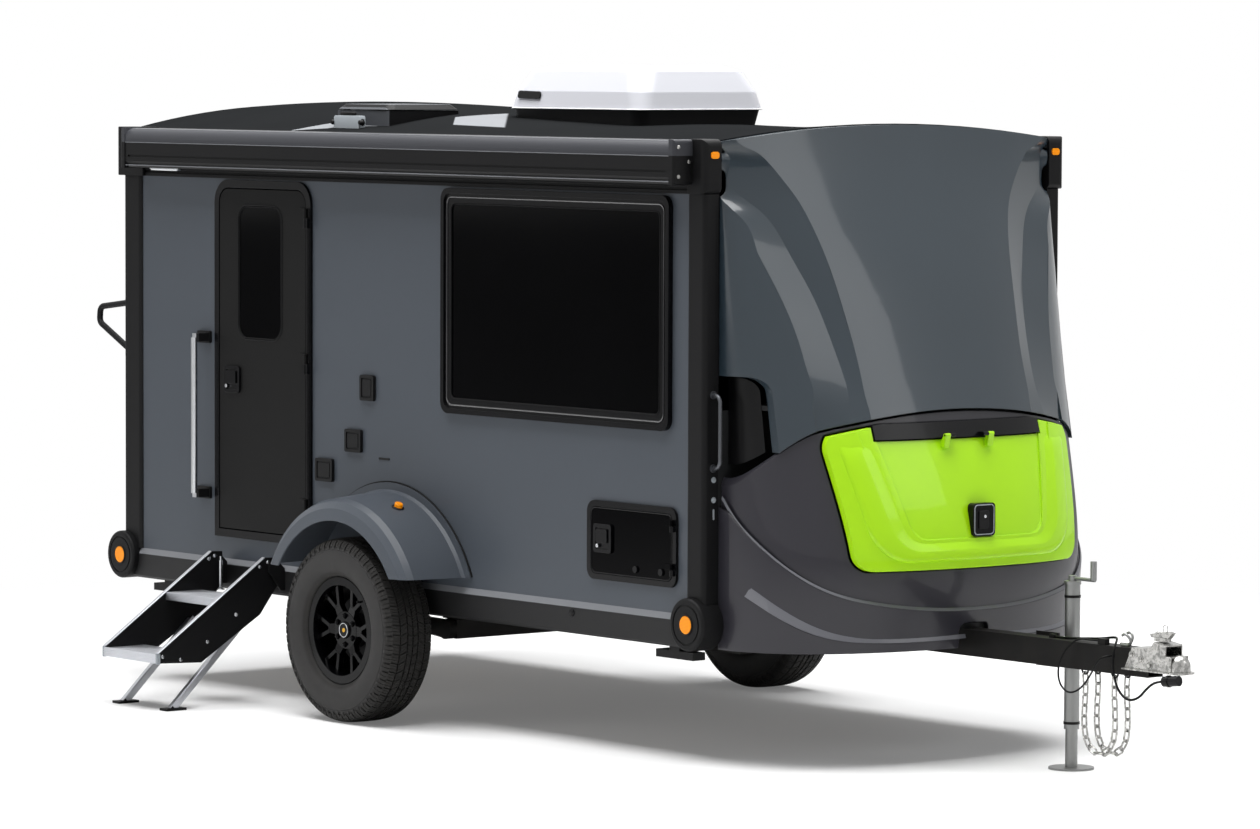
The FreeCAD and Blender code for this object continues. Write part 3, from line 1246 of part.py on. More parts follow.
def chain_line(ends, y, low):
    """A hanging line between two eyes under the tongue: two legs and a round bottom."""
    x0, x1 = ends
    top = BEAM_Z0 - CHAIN_EYE_R + CHAIN_WIRE_R + SEAT_GAP
    r = (x1 - x0) / 2
    mid = (x0 + x1) / 2
    pts = [(x0, y, top), (x0, y, (top + low + r) / 2)]
    for turn in (180, 225, 270, 315, 360):
        a = math.radians(turn)
        pts.append((mid + r * math.cos(a), y, low + r + r * math.sin(a)))
    return pts + [(x1, y, (top + low + r) / 2), (x1, y, top)]


def fitted_chain(ends, y, low):
    """Moves the bottom of the line until a whole odd number of links fills it."""
    pitch = CHAIN_LINK_L - 4 * CHAIN_WIRE_R - CHAIN_SLACK
    for attempt in range(30):
        line = chain_line(ends, y, low)
        links, short = hanging_chain(line, low + (ends[1] - ends[0]) / 2 + 8)
        if len(links) % 2 == 0:
            low -= (pitch - short + SEAT_GAP / 3) / 2
        elif short > SEAT_GAP:
            low += short * 0.4
        else:
            break
    return links


def safety_chains():
    return Part.Compound(fitted_chain(CHAIN_NEAR_X, -CHAIN_Y, 104) + fitted_chain(CHAIN_FAR_X, CHAIN_Y, 98))


def cord(points, radius, name):
    """A limp cord through a few points; the sweep's volume is set against section times length."""
    body, path, radii = pipe(points, cord_bend, radius)
    plain = math.pi * radius * radius * path.Length
    print(name, "bends", [round(r, 1) for r in radii], "volume ratio", round(body.Volume / plain, 4))
    return body


def wiring_points():
    """Leaves its clip on the tongue, drops beside it, hangs in a loop and ends at the plug."""
    top = BEAM_Z1 + CORD_R + SEAT_GAP
    return [(WIRING_X, 0, top), (4880, 0, top), (4960, 12, top + 6), (5040, 10, top + 12), (5115, 4, top + 24),
            (5170, -36, top + 24), (5186, -74, top - 14), (5192, -80, top - 86), (5218, -84, top - 150),
            (5270, -84, top - 190), (5326, -80, top - 178), (5362, -70, top - 136), (5392, -58, top - 112),
            (5430, -53, top - 108)]


def wiring_cord():
    return cord(wiring_points(), CORD_R, "wiring_cord")


def wiring_plug():
    """Round plug with a collar, hanging beside the coupler's throat."""
    last = V(*wiring_points()[-1])
    ahead = (last - V(*wiring_points()[-2])).normalize()
    body = rod(tuple(last), tuple(last + ahead * 70), PLUG_R)
    collar = rod(tuple(last + ahead * 18), tuple(last + ahead * 28), PLUG_R + 3)
    return body.fuse(collar)


def brake_cable():
    """Thin breakaway cable: leaves its switch, hangs in a wide loop and comes back to the tongue's side."""
    z = BEAM_Z1 + 12
    return cord([(SWITCH_X, -23, z), (5018, -23, z), (4968, -50, z + 4), (4924, -74, z - 46), (4902, -82, z - 108),
                 (4914, -86, z - 164), (4958, -86, z - 196), (5010, -86, z - 186), (5056, -86, z - 150),
                 (5096, -84, z - 96), (5124, -90, z - 60), (5150, -78, z - 46), (5150, -TONGUE_W / 2 - 6, z - 46)],
                CABLE_R, "brake_cable")


def jack_bracket():
    """Plate on the tongue, a stub and the pin that the jack turns on."""
    y0 = TONGUE_W / 2
    face = JACK_Y - JACK_TUBE_R - 5
    plate = box(JACK_X - 60, JACK_X + 60, y0, y0 + 8, BEAM_Z0 - 14, BEAM_Z1 + 14)
    stub = rod((JACK_X, y0 + 8, JACK_PIVOT_Z), (JACK_X, face - 2, JACK_PIVOT_Z), 30)
    pin = rod((JACK_X, face - 2, JACK_PIVOT_Z), (JACK_X, face + 9, JACK_PIVOT_Z), 20)
    return fuse([plate, stub, pin])


def jack():
    z_low = 150.0
    face = JACK_Y - JACK_TUBE_R - 5
    tube = rod((JACK_X, JACK_Y, z_low), (JACK_X, JACK_Y, JACK_TOP_Z), JACK_TUBE_R)
    leg = rod((JACK_X, JACK_Y, 8), (JACK_X, JACK_Y, z_low), JACK_LEG_R)
    foot = rod((JACK_X, JACK_Y, 0), (JACK_X, JACK_Y, 8), JACK_FOOT_R)
    collar = rod((JACK_X, face, JACK_PIVOT_Z), (JACK_X, JACK_Y, JACK_PIVOT_Z), 36)
    bore = rod((JACK_X, face - 10, JACK_PIVOT_Z), (JACK_X, face + 9.5, JACK_PIVOT_Z), 20 + PIN_CLEAR)
    cap = rod((JACK_X, JACK_Y, JACK_TOP_Z), (JACK_X, JACK_Y, JACK_TOP_Z + 12), JACK_TUBE_R + 3)
    handle = rod((JACK_X, JACK_Y, JACK_TOP_Z + 22), (JACK_X + 120, JACK_Y, JACK_TOP_Z + 22), 7)
    grip = rod((JACK_X + 112, JACK_Y, JACK_TOP_Z + 22), (JACK_X + 112, JACK_Y, JACK_TOP_Z + 92), 12)
    hub = rod((JACK_X, JACK_Y, JACK_TOP_Z + 12), (JACK_X, JACK_Y, JACK_TOP_Z + 32), 16)
    return fuse([tube, leg, foot, collar, cap, handle, grip, hub]).cut(bore)


def rear_hoop():
    """Bent grab rail at the right rear corner, a triangle seen from the side."""
    y = -HALF_W + 40
    face = REAR_X
    pts = [(face, y, HOOP_Z1), (-HOOP_REACH + 20, y, HOOP_Z1 - 27), (-HOOP_REACH + 14, y, HOOP_Z0 + 115), (face, y, HOOP_Z0)]
    body, _, _ = pipe(pts, fixed_bend(30.0), 13.0)
    feet = [side_box_plate(face, y, HOOP_Z1), side_box_plate(face, y, HOOP_Z0)]
    return fuse([body] + feet).cut(box(face, face + 60, y - 60, y + 60, HOOP_Z0 - 85, HOOP_Z1 + 108))


def side_box_plate(face, y, z):
    return front_prism(y - 28, y + 28, z - 28, z + 28, face - 6, face, 12)


# Entry steps

def step_side(x0, thick):
    """Side plate seen along X: a slanting web between the top bracket and the bottom tread."""
    side = -HALF_W
    pts = [(side - 38.5, 594), (side - 89.5, 596), (side - 616.5, 233), (side - 610.5, 196), (side - 404.5, 188),
           (side - 114.5, 366), (side - 29.5, 480)]
    plate = polygon_prism([(x0, y, z) for y, z in pts], (thick, 0, 0))
    return plate.cut(rod((x0 - 1, STEP_PIVOT_Y, STEP_PIVOT_Z), (x0 + thick + 1, STEP_PIVOT_Y, STEP_PIVOT_Z),
                         STEP_PIN_R + PIN_CLEAR))


def steps():
    t = STEP_PLATE_T
    side = -HALF_W
    parts = [step_side(STEP_X0, t), step_side(STEP_X1 - t, t)]
    for y0, y1, z in ((side - 316.5, side - 144.5, 424), (side - 604.5, side - 422.5, 214)):
        parts.append(box(STEP_X0 + t - 1, STEP_X1 - t + 1, y0, y1, z - 12, z + 14))
    for x in (STEP_X0 + t, STEP_X1 - t - 24):
        leg = polygon_prism([(x, side - 179.5, 330), (x, side - 209.5, 330), (x, side - 544.5, 8),
                             (x, side - 509.5, 8)], (24, 0, 0))
        pad = box(x - 14, x + 38, side - 572.5, side - 476.5, 0, 10)
        parts += [leg, pad]
    return fuse(parts)


def step_bracket():
    """Back plate on the sill with two ears; the steps fold on their pins."""
    y0 = -HALF_W
    low = SILL_Z0 + 24
    plate = box(STEP_X0 - 14, STEP_X1 + 14, y0 - 3, y0, low, SILL_Z1 - 26)
    parts = [plate]
    t = STEP_PLATE_T
    y = STEP_PIVOT_Y
    z = STEP_PIVOT_Z
    for x0, tip in ((STEP_X0 - 14, STEP_X0 + t), (STEP_X1 + 4, STEP_X1 - t)):
        ear = polygon_prism([(x0, y0, low), (x0, y0, SILL_Z1 - 26), (x0, y0 - 2, SILL_Z1 - 10), (x0, y + 20, z + 22),
                             (x0, y - 22, z + 22), (x0, y - 22, z - 22), (x0, y0 - 20, low)], (10, 0, 0))
        parts += [ear, rod((x0 + 5, y, z), (tip, y, z), STEP_PIN_R)]
    return fuse(parts)


# Small outside pieces

def rear_lamps():
    made = []
    for z0, z1 in ((900, 1060), (1080, 1160)):
        made += both_sides(front_prism(-POST_IN + 24, -POST_IN + 84, z0, z1, REAR_X - 14, REAR_X, 12))
    return Part.Compound(made)


def stabilisers():
    made = []
    for x in (3560.0, 180.0):
        body = box(x - 110, x + 110, -800, -740, SILL_Z0 - 60, SILL_Z0 - 30)
        hanger = box(x - 30, x + 30, -800, -740, SILL_Z0 - 30, BEAM_Z1)
        made += both_sides(fuse([body, hanger]))
    return Part.Compound(made)


def export(name, shape):
    moved = shape.copy()
    moved.translate(V(-CENTRE_X, -CENTRE_Y, 0))
    moved.exportStep("parts/" + name + ".step")


def lid_latch():
    """Paddle latch on the lid's sunk panel, low on the centre line."""
    x = NOSE_X + 552.0 + LID_PROUD - 11 - 3
    plate = front_prism(-55, 55, LID_SUNK_Z + 4, LID_SUNK_Z + 128, x - 24, x + 8, 16)
    plate = plate.cut(nose_loft(LID_PROUD - 11 + SEAT_GAP))
    return plate


def main():
    os.makedirs("parts", exist_ok=True)
    outer = nose_loft(0)
    inner = nose_loft(-NOSE_T)
    export("chassis_frame", chassis_frame())
    export("tongue_beam", tongue_beam())
    export("axle", axle_beam())
    export("floor_panel", floor_panel())
    export("side_sills", sills())
    export("corner_posts", Part.Compound(posts()))
    export("lower_corner_drums", lower_corners())
    export("top_corner_caps", top_corners())
    export("marker_lights", marker_lights())
    export("side_wall_right", side_wall(True))
    export("side_wall_left", mirrored(side_wall(False)))
    export("rear_wall", rear_wall())
    export("front_bulkhead", front_bulkhead())
    export("roof_rails", roof_rails())
    export("roof_panel", roof_panel())
    export("nose_cap", nose_cap(outer, inner))
    export("nose_fairing", nose_fairing(outer, inner))
    export("nose_pockets", nose_pockets())
    export("nose_decks", nose_decks(inner))
    export("nose_handles", nose_handles())
    export("lid_hinge_bar", lid_bar())
    export("front_lid", front_lid())
    export("lid_latch", lid_latch())
    export("door_frame", door_frame())
    export("entry_door", entry_door())
    export("door_window", door_window())
    export("door_latch", door_latch())
    export("window_frames", Part.Compound(both_sides(window_frame())))
    export("window_panes", Part.Compound(both_sides(window_pane())))
    export("hatch_frame", hatch_frame())
    export("side_hatch", hatch_door())
    export("hatch_latch", hatch_latch())
    export("inlet_ports", inlet_ports())
    export("grab_handle", grab_handle())
    export("awning_cassette", Part.Compound([awning_cassette()] + awning_end_caps()))
    export("ac_base", ac_base())
    export("ac_shroud", ac_shroud())
    export("vent_base", vent_base())
    export("vent_lid", vent_lid())
    wheel = Part.Compound([rim(), wheel_cap()])
    export("tyre_right", tyre())
    export("tyre_left", mirrored(tyre()))
    export("rim_right", wheel)
    export("rim_left", mirrored(wheel))
    export("hub_right", hub_drum())
    export("hub_left", mirrored(hub_drum()))
    export("fenders", Part.Compound(both_sides(fender())))
    export("coupler", Part.Compound([coupler(), coupler_latch()]))
    export("safety_chains", safety_chains())
    export("wiring_cord", wiring_cord())
    export("wiring_plug", wiring_plug())
    export("brake_cable", brake_cable())
    export("jack_bracket", jack_bracket())
    export("tongue_jack", jack())
    export("rear_hoop", rear_hoop())
    export("entry_steps", steps())
    export("step_bracket", step_bracket())
    export("rear_lamps", rear_lamps())
    export("stabilisers", stabilisers())


main()
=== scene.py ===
# %% [markdown]
# # A compact camping trailer
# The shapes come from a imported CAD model: every rigid piece is already there at its real size and place.
# This lesson adds the looks. It sets a camera where the photographer stood, gives each piece the finish of
# the real one, and models what is easier to draw than to machine: tread, bolts, seals, trims and cords.

# %% Load the frame
import bmesh
import bpy
import math
import numpy as np
from mathutils import Matrix, Vector


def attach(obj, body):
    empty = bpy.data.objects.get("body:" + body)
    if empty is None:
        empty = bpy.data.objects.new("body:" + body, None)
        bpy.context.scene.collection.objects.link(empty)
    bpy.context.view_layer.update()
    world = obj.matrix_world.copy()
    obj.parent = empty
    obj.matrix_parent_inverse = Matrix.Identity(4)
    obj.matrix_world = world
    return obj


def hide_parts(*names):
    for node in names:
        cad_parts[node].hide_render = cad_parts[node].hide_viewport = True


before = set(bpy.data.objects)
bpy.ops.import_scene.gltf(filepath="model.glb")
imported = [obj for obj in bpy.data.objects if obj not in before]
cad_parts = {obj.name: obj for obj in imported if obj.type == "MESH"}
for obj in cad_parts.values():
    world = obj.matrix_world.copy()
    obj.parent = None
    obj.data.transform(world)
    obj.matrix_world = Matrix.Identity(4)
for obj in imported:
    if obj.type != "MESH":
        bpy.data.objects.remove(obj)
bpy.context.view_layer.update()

# %% [markdown]
# ## One set of coordinates
# The trailer was measured with x along the body from the rear corner, y from the centre plane and z from the
# ground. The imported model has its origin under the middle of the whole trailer, so one small shift turns
# measured places into model places. Every later number is a measured one, in metres. The axle gets its name
# here, because tyres, wheels and fenders are all built about it.

# %% The shift
SHIFT = np.array([-2.620, 0.1685, 0.0])
AXLE_X, AXLE_Z = 1.880, 0.367


def placed(points):
    """Measured points in the model's frame: each point plus the shift."""
    return np.asarray(points, float) + SHIFT


# %% [markdown]
# ## The camera
# Straight edges of the body box meet at vanishing points in the photograph. From them come the direction
# of view and the focal length; known sizes then give the distance. The lens is long, about 165 mm on a
# 36 mm wide sensor, which is why the trailer looks almost parallel.

# %% Camera
def look_from(place, yaw, pitch, roll):
    """A camera's world matrix. Yaw turns the view from +Y towards -X, pitch tips it down and roll turns the
    picture, all in degrees; the columns are the camera's side, its top and the way back from the view."""
    a, b, c = (math.radians(v) for v in (yaw, pitch, roll))
    ahead = Vector((-math.sin(a) * math.cos(b), math.cos(a) * math.cos(b), -math.sin(b)))
    right = Vector((math.cos(a), math.sin(a), 0))
    up = right.cross(ahead)
    side = right * math.cos(c) + up * math.sin(c)
    top = up * math.cos(c) - right * math.sin(c)
    turn = Matrix((side, top, -ahead)).transposed().to_4x4()
    return Matrix.Translation(Vector(placed(place))) @ turn


lens = bpy.data.cameras.new("photo_camera")
lens.sensor_width = 36.0
lens.lens = 165.17
lens.clip_end = 200.0
camera = bpy.data.objects.new("photo_camera", lens)
camera.matrix_world = look_from((20.3595, -14.4985, 2.6537), 51.2559, 3.5842, 0.2079)
bpy.context.scene.collection.objects.link(camera)
bpy.context.scene.camera = camera
print("camera at", [round(v, 2) for v in camera.location], "lens", lens.lens)

# %% [markdown]
# ## Shader arithmetic
# A shader is a graph of small nodes, and most of them do plain arithmetic. Two classes keep the graphs short:
# a Signal is a socket that can be added, scaled and compared with ordinary signs, and a Graph makes every
# other node with its settings first and its sockets after them.

# %% Signals and graphs
scene = bpy.context.scene
scene.view_settings.view_transform = "Standard"


class Signal:
    """A socket of a node tree. Arithmetic on signals adds the Math nodes for it."""

    def __init__(self, tree, socket):
        self.tree = tree
        self.socket = socket

    def combine(self, operation, other, swapped=False):
        node = self.tree.nodes.new("ShaderNodeMath")
        node.operation = operation
        pair = (other, self) if swapped else (self, other)
        for slot, value in zip(node.inputs, pair):
            if isinstance(value, Signal):
                self.tree.links.new(value.socket, slot)
            else:
                slot.default_value = value
        return Signal(self.tree, node.outputs[0])

    def __add__(self, other):
        return self.combine("ADD", other)

    def __radd__(self, other):
        return self.combine("ADD", other, True)

    def __sub__(self, other):
        return self.combine("SUBTRACT", other)

    def __rsub__(self, other):
        return self.combine("SUBTRACT", other, True)

    def __mul__(self, other):
        return self.combine("MULTIPLY", other)

    def __rmul__(self, other):
        return self.combine("MULTIPLY", other, True)

    def __pow__(self, other):
        return self.combine("POWER", other)

    def __gt__(self, other):
        return self.combine("GREATER_THAN", other)

    def __lt__(self, other):
        return self.combine("LESS_THAN", other)


class Graph:
    """A node tree with one way to add any node but plain arithmetic."""

    def __init__(self, tree):
        self.tree = tree
        tree.nodes.clear()

    def node(self, kind, settings=None, inputs=None, output=0):
        """Adds a node, sets its properties, then its sockets from numbers or signals."""
        made = self.tree.nodes.new(kind)
        for key, value in (settings or {}).items():
            setattr(made, key, value)
        for key, value in (inputs or {}).items():
            if isinstance(value, Signal):
                self.tree.links.new(value.socket, made.inputs[key])
            else:
                made.inputs[key].default_value = value
        return Signal(self.tree, made.outputs[output]) if made.outputs else made


# %% [markdown]
# ## A white studio
# The photograph is cut out on white and keeps a soft grey shadow. The world is plain white where the camera,
# a mirror or clear plastic sees it, and a softer grey as a source of light, so that colours render about as
# they are written. The floor is white paper near the trailer, where it takes the shadow, and turns into an
# evenly lit backdrop further out.

# %% World
world = bpy.data.worlds.new("studio")
scene.world = world
world.use_nodes = True
sky = Graph(world.node_tree)
rays = "ShaderNodeLightPath"
seen = (sky.node(rays, output="Is Camera Ray") + sky.node(rays, output="Is Glossy Ray")
        + sky.node(rays, output="Is Transmission Ray"))
shown = sky.node("ShaderNodeBackground", inputs={"Color": (1, 1, 1, 1), "Strength": 1.0})
ambient = sky.node("ShaderNodeBackground", inputs={"Color": (1, 1, 1, 1), "Strength": 0.16})
both = sky.node("ShaderNodeMixShader", inputs={0: seen, 1: ambient, 2: shown})
sky.node("ShaderNodeOutputWorld", inputs={"Surface": both})
print("world of", len(world.node_tree.nodes), "nodes")

# %% [markdown]
# ## Meshes from arrays
# Every drawn piece is a set of sheets of points worked out with numpy, then joined into one mesh. A turned
# part is a profile spun round an axis, and a plate, bolt head or bar is a stack of rounded loops whose insets
# make the chamfers. Doubled points are merged and the faces turned outwards at the end.

# %% Shape makers
def sheet_faces(rows, cols, wrap_rows=False, wrap_cols=True):
    """Four-sided faces between neighbours on a sheet of rows times cols points."""
    i = np.arange(rows if wrap_rows else rows - 1)[:, None]
    j = np.arange(cols if wrap_cols else cols - 1)[None, :]
    across = (j + 1) % cols
    down = (i + 1) % rows
    corners = [i * cols + j, i * cols + across, down * cols + across, down * cols + j]
    return np.stack([c + 0 * i + 0 * j for c in corners], -1).reshape(-1, 4)


def frame_of(axis):
    """Two directions square to an axis and to each other."""
    w = np.asarray(axis, float) / np.linalg.norm(axis)
    u = np.cross(w, (0.0, 0.0, 1.0) if abs(w[2]) < 0.9 else (1.0, 0.0, 0.0))
    u = u / np.linalg.norm(u)
    return u, np.cross(w, u), w


def turned(profile, centre, axis, count=64, closed=False):
    """A profile of (along, radius) pairs spun round an axis:
    point = centre + along * w + radius * (cos a * u + sin a * v)."""
    u, v, w = frame_of(axis)
    along, radius = np.asarray(profile, float).T
    a = 2 * math.pi * np.arange(count) / count
    ring = np.cos(a)[:, None] * u + np.sin(a)[:, None] * v
    points = np.asarray(centre, float) + along[:, None, None] * w + radius[:, None, None] * ring[None]
    return points.reshape(-1, 3), sheet_faces(len(profile), count, closed)


def loop(width, height, corner, steps=5):
    """A rounded rectangle round the origin: quarter circles of the corner radius at its four corners."""
    corner = min(corner, width / 2, height / 2)
    a = np.linspace(0, math.pi / 2, steps)
    quarter = np.stack([np.cos(a), np.sin(a)], -1) * corner
    turns = []
    for k, (sx, sy) in enumerate(((1, 1), (-1, 1), (-1, -1), (1, -1))):
        c, s = round(math.cos(k * math.pi / 2)), round(math.sin(k * math.pi / 2))
        turned_quarter = quarter @ np.array([[c, s], [-s, c]])
        turns.append(turned_quarter + (sx * (width / 2 - corner), sy * (height / 2 - corner)))
    return np.concatenate(turns)


def stack(centre, u, v, width, height, corner, levels, steps=5):
    """Rounded loops stacked along u x v and closed at both ends; levels are (height, inset) pairs."""
    u, v = (np.asarray(d, float) / np.linalg.norm(d) for d in (u, v))
    w = np.cross(u, v)
    rows = []
    for up, inset in levels:
        flat = loop(width - 2 * inset, height - 2 * inset, max(corner - inset, 1e-4), steps)
        rows.append(np.asarray(centre, float) + flat[:, :1] * u + flat[:, 1:] * v + up * w)
    first = np.repeat(rows[0].mean(0)[None], len(rows[0]), 0)
    last = np.repeat(rows[-1].mean(0)[None], len(rows[0]), 0)
    points = np.concatenate([first] + rows + [last])
    return points, sheet_faces(len(rows) + 2, len(rows[0]))


def block(low, high, chamfer=0.001):
    """A bar or plate between two corners, with its upper and lower edges chamfered."""
    low, high = np.asarray(low, float), np.asarray(high, float)
    size = high - low
    centre = ((low[0] + high[0]) / 2, (low[1] + high[1]) / 2, low[2])
    levels = ((0, chamfer), (chamfer, 0), (size[2] - chamfer, 0), (size[2], chamfer))
    return stack(centre, (1, 0, 0), (0, 1, 0), size[0], size[1], chamfer * 1.5, levels, 3)


def bolt(place, axis, radius=0.008, height=0.005, sides=6, washer=True):
    """A bolt head on a surface: a flat washer, six flats and a domed top."""
    shapes = []
    if washer:
        flat = [(0, 0), (0, radius * 1.45), (0.0012, radius * 1.5), (0.0018, radius * 1.35), (0.0018, 0)]
        shapes.append(turned(flat, place, axis, 24))
    head = [(0.0, 0.0), (0.0, radius), (height * 0.75, radius), (height, radius * 0.82), (height * 1.05, 0)]
    shapes.append(turned([(0.001 + a, r) for a, r in head], place, axis, sides))
    return shapes


def joined(shapes):
    """Several (points, faces) pairs as one."""
    counts = np.cumsum([0] + [len(points) for points, faces in shapes])
    points = np.concatenate([points for points, faces in shapes])
    faces = np.concatenate([faces + shift for (_, faces), shift in zip(shapes, counts)])
    return points, faces


def mirror_y(shapes):
    """The same shapes on the other side of the centre plane."""
    return [(points * (1, -1, 1), faces[:, ::-1]) for points, faces in shapes]


def piece(name, shapes, finish, body="body", sharp=32, both=False):
    """One object from measured shapes: doubles merged, faces turned out, smooth except at sharp edges."""
    shapes = list(shapes) + (mirror_y(shapes) if both else [])
    points, faces = joined(shapes)
    mesh = bpy.data.meshes.new(name)
    mesh.from_pydata(placed(points).tolist(), [], faces.tolist())
    work = bmesh.new()
    work.from_mesh(mesh)
    bmesh.ops.remove_doubles(work, verts=work.verts, dist=2e-6)
    bmesh.ops.recalc_face_normals(work, faces=work.faces)
    work.to_mesh(mesh)
    work.free()
    mesh.polygons.foreach_set("use_smooth", np.ones(len(mesh.polygons), bool))
    mesh.set_sharp_from_angle(angle=math.radians(sharp))
    made = bpy.data.objects.new(name, mesh)
    scene.collection.objects.link(made)
    mesh.materials.append(finish)
    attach(made, body)
    return made


print("shape makers ready; a test bolt has", len(joined(bolt((0, 0, 0), (0, 0, 1)))[1]), "faces")

# %% [markdown]
# ## Floor and lamps
# The floor's paper lies flat under the wheels. From 3.4 to 6.5 metres out it fades into an even white, so no
# horizon shows. The large lamp above makes the soft shadow under the trailer; a broad lamp on the door side
# and a weak one in front give the nose its gradient from light to dark.

# %% Floor and lamps
floor = bpy.data.objects.new("studio_floor", bpy.data.meshes.new("studio_floor"))
floor.data.from_pydata([(-60, -60, 0), (60, -60, 0), (60, 60, 0), (-60, 60, 0)], [], [(0, 1, 2, 3)])
scene.collection.objects.link(floor)
ground = bpy.data.materials.new("studio_floor")
ground.use_nodes = True
paper = Graph(ground.node_tree)
matt = paper.node("ShaderNodeBsdfDiffuse", inputs={"Color": (0.95, 0.95, 0.95, 1)})
glow = paper.node("ShaderNodeEmission", inputs={"Color": (1, 1, 1, 1), "Strength": 1.0})
spot = paper.node("ShaderNodeTexCoord", output="Object")
far = paper.node("ShaderNodeVectorMath", {"operation": "LENGTH"}, {0: spot}, output="Value")
fade = paper.node("ShaderNodeMapRange", {"interpolation_type": "SMOOTHSTEP"},
                  {"Value": far, "From Min": 3.4, "From Max": 6.5})
near_glow = 0.14
direct = paper.node(rays, output="Is Camera Ray") * (fade * (1 - near_glow) + near_glow)
surface = paper.node("ShaderNodeMixShader", inputs={0: direct, 1: matt, 2: glow})
paper.node("ShaderNodeOutputMaterial", inputs={"Surface": surface})
floor.data.materials.append(ground)


def lamp(name, place, target, size, power):
    """A square soft lamp at a place, aimed at a target, both measured."""
    light = bpy.data.lights.new(name, "AREA")
    light.size = size
    light.energy = power
    made = bpy.data.objects.new(name, light)
    here = Vector(placed(place))
    aim = (Vector(placed(target)) - here).to_track_quat("-Z", "Y").to_matrix().to_4x4()
    made.matrix_world = Matrix.Translation(here) @ aim
    scene.collection.objects.link(made)


lamp("lamp_above", (2.2, -0.6, 8.0), (2.2, -0.3, 0), 9.0, 1750)
lamp("lamp_side", (0.0, -9.5, 4.0), (1.8, 0, 1.2), 5.0, 60)
lamp("lamp_front", (10.5, 3.0, 5.0), (3.8, 0, 1.2), 3.0, 65)

# %% [markdown]
# ## Finishes
# A real coat is never one flat colour: there is faint mottling, dust that dulls the gloss, a grain or an
# orange peel. Each finish below is a principled shader with two or three noise patterns on it. Patterns read
# Object coordinates, so they are at real scale in metres.

# %% A finish maker
def srgb(code):
    """A colour written as #RRGGBB in the linear values that a shader needs."""
    parts = np.array([int(code[i:i + 2], 16) for i in (1, 3, 5)]) / 255.0
    linear = np.where(parts <= 0.04045, parts / 12.92, ((parts + 0.055) / 1.055) ** 2.4)
    return (*[float(v) for v in linear], 1.0)


def shade(colour, factor):
    """The same colour, darker or lighter by a factor, alpha kept."""
    return (*[min(1.0, v * factor) for v in colour[:3]], colour[3])


class Finish(Graph):
    """A material with a principled shader and handy patterns."""

    def __init__(self, name):
        self.material = bpy.data.materials.new(name)
        self.material.use_nodes = True
        super().__init__(self.material.node_tree)
        self.place = self.node("ShaderNodeTexCoord", output="Object")

    def noise(self, scale, detail=3.0, rough=0.5, at=None):
        """Soft noise between 0 and 1; scale counts patches per metre."""
        return self.node("ShaderNodeTexNoise", inputs={"Vector": at or self.place, "Scale": scale,
                                                       "Detail": detail, "Roughness": rough})

    def between(self, mask, low, high):
        """A colour that goes from low to high as the mask goes from 0 to 1."""
        return self.node("ShaderNodeMix", {"data_type": "RGBA"}, {0: mask, 6: low, 7: high}, output=2)

    def axis(self, which):
        """One measured coordinate of the surface point, in metres."""
        raw = self.node("ShaderNodeSeparateXYZ", inputs={"Vector": self.place}, output=which)
        return raw - float(SHIFT["XYZ".index(which)])

    def band(self, value, start, end):
        """0 at start, 1 at end, smooth between."""
        return self.node("ShaderNodeMapRange", {"interpolation_type": "SMOOTHSTEP"},
                         {"Value": value, "From Min": start, "From Max": end})

    def stretched(self, x, y, z):
        """Coordinates scaled apart on each axis, for brushed or drawn patterns."""
        return self.node("ShaderNodeVectorMath", {"operation": "MULTIPLY"}, {0: self.place, 1: (x, y, z)})

    def bump(self, height, depth, normal=None):
        """A bumped normal; depth is the height of the pattern in metres, normal one to start from."""
        inputs = {"Height": height, "Distance": depth, "Strength": 1.0}
        if normal is not None:
            inputs["Normal"] = normal
        return self.node("ShaderNodeBump", inputs=inputs)

    def finish(self, **sockets):
        """Closes the material; keys are the principled shader's sockets with _ for blanks."""
        values = {key.replace("_", " "): value for key, value in sockets.items()}
        shader = self.node("ShaderNodeBsdfPrincipled", inputs=values)
        self.node("ShaderNodeOutputMaterial", inputs={"Surface": shader})
        return self.material
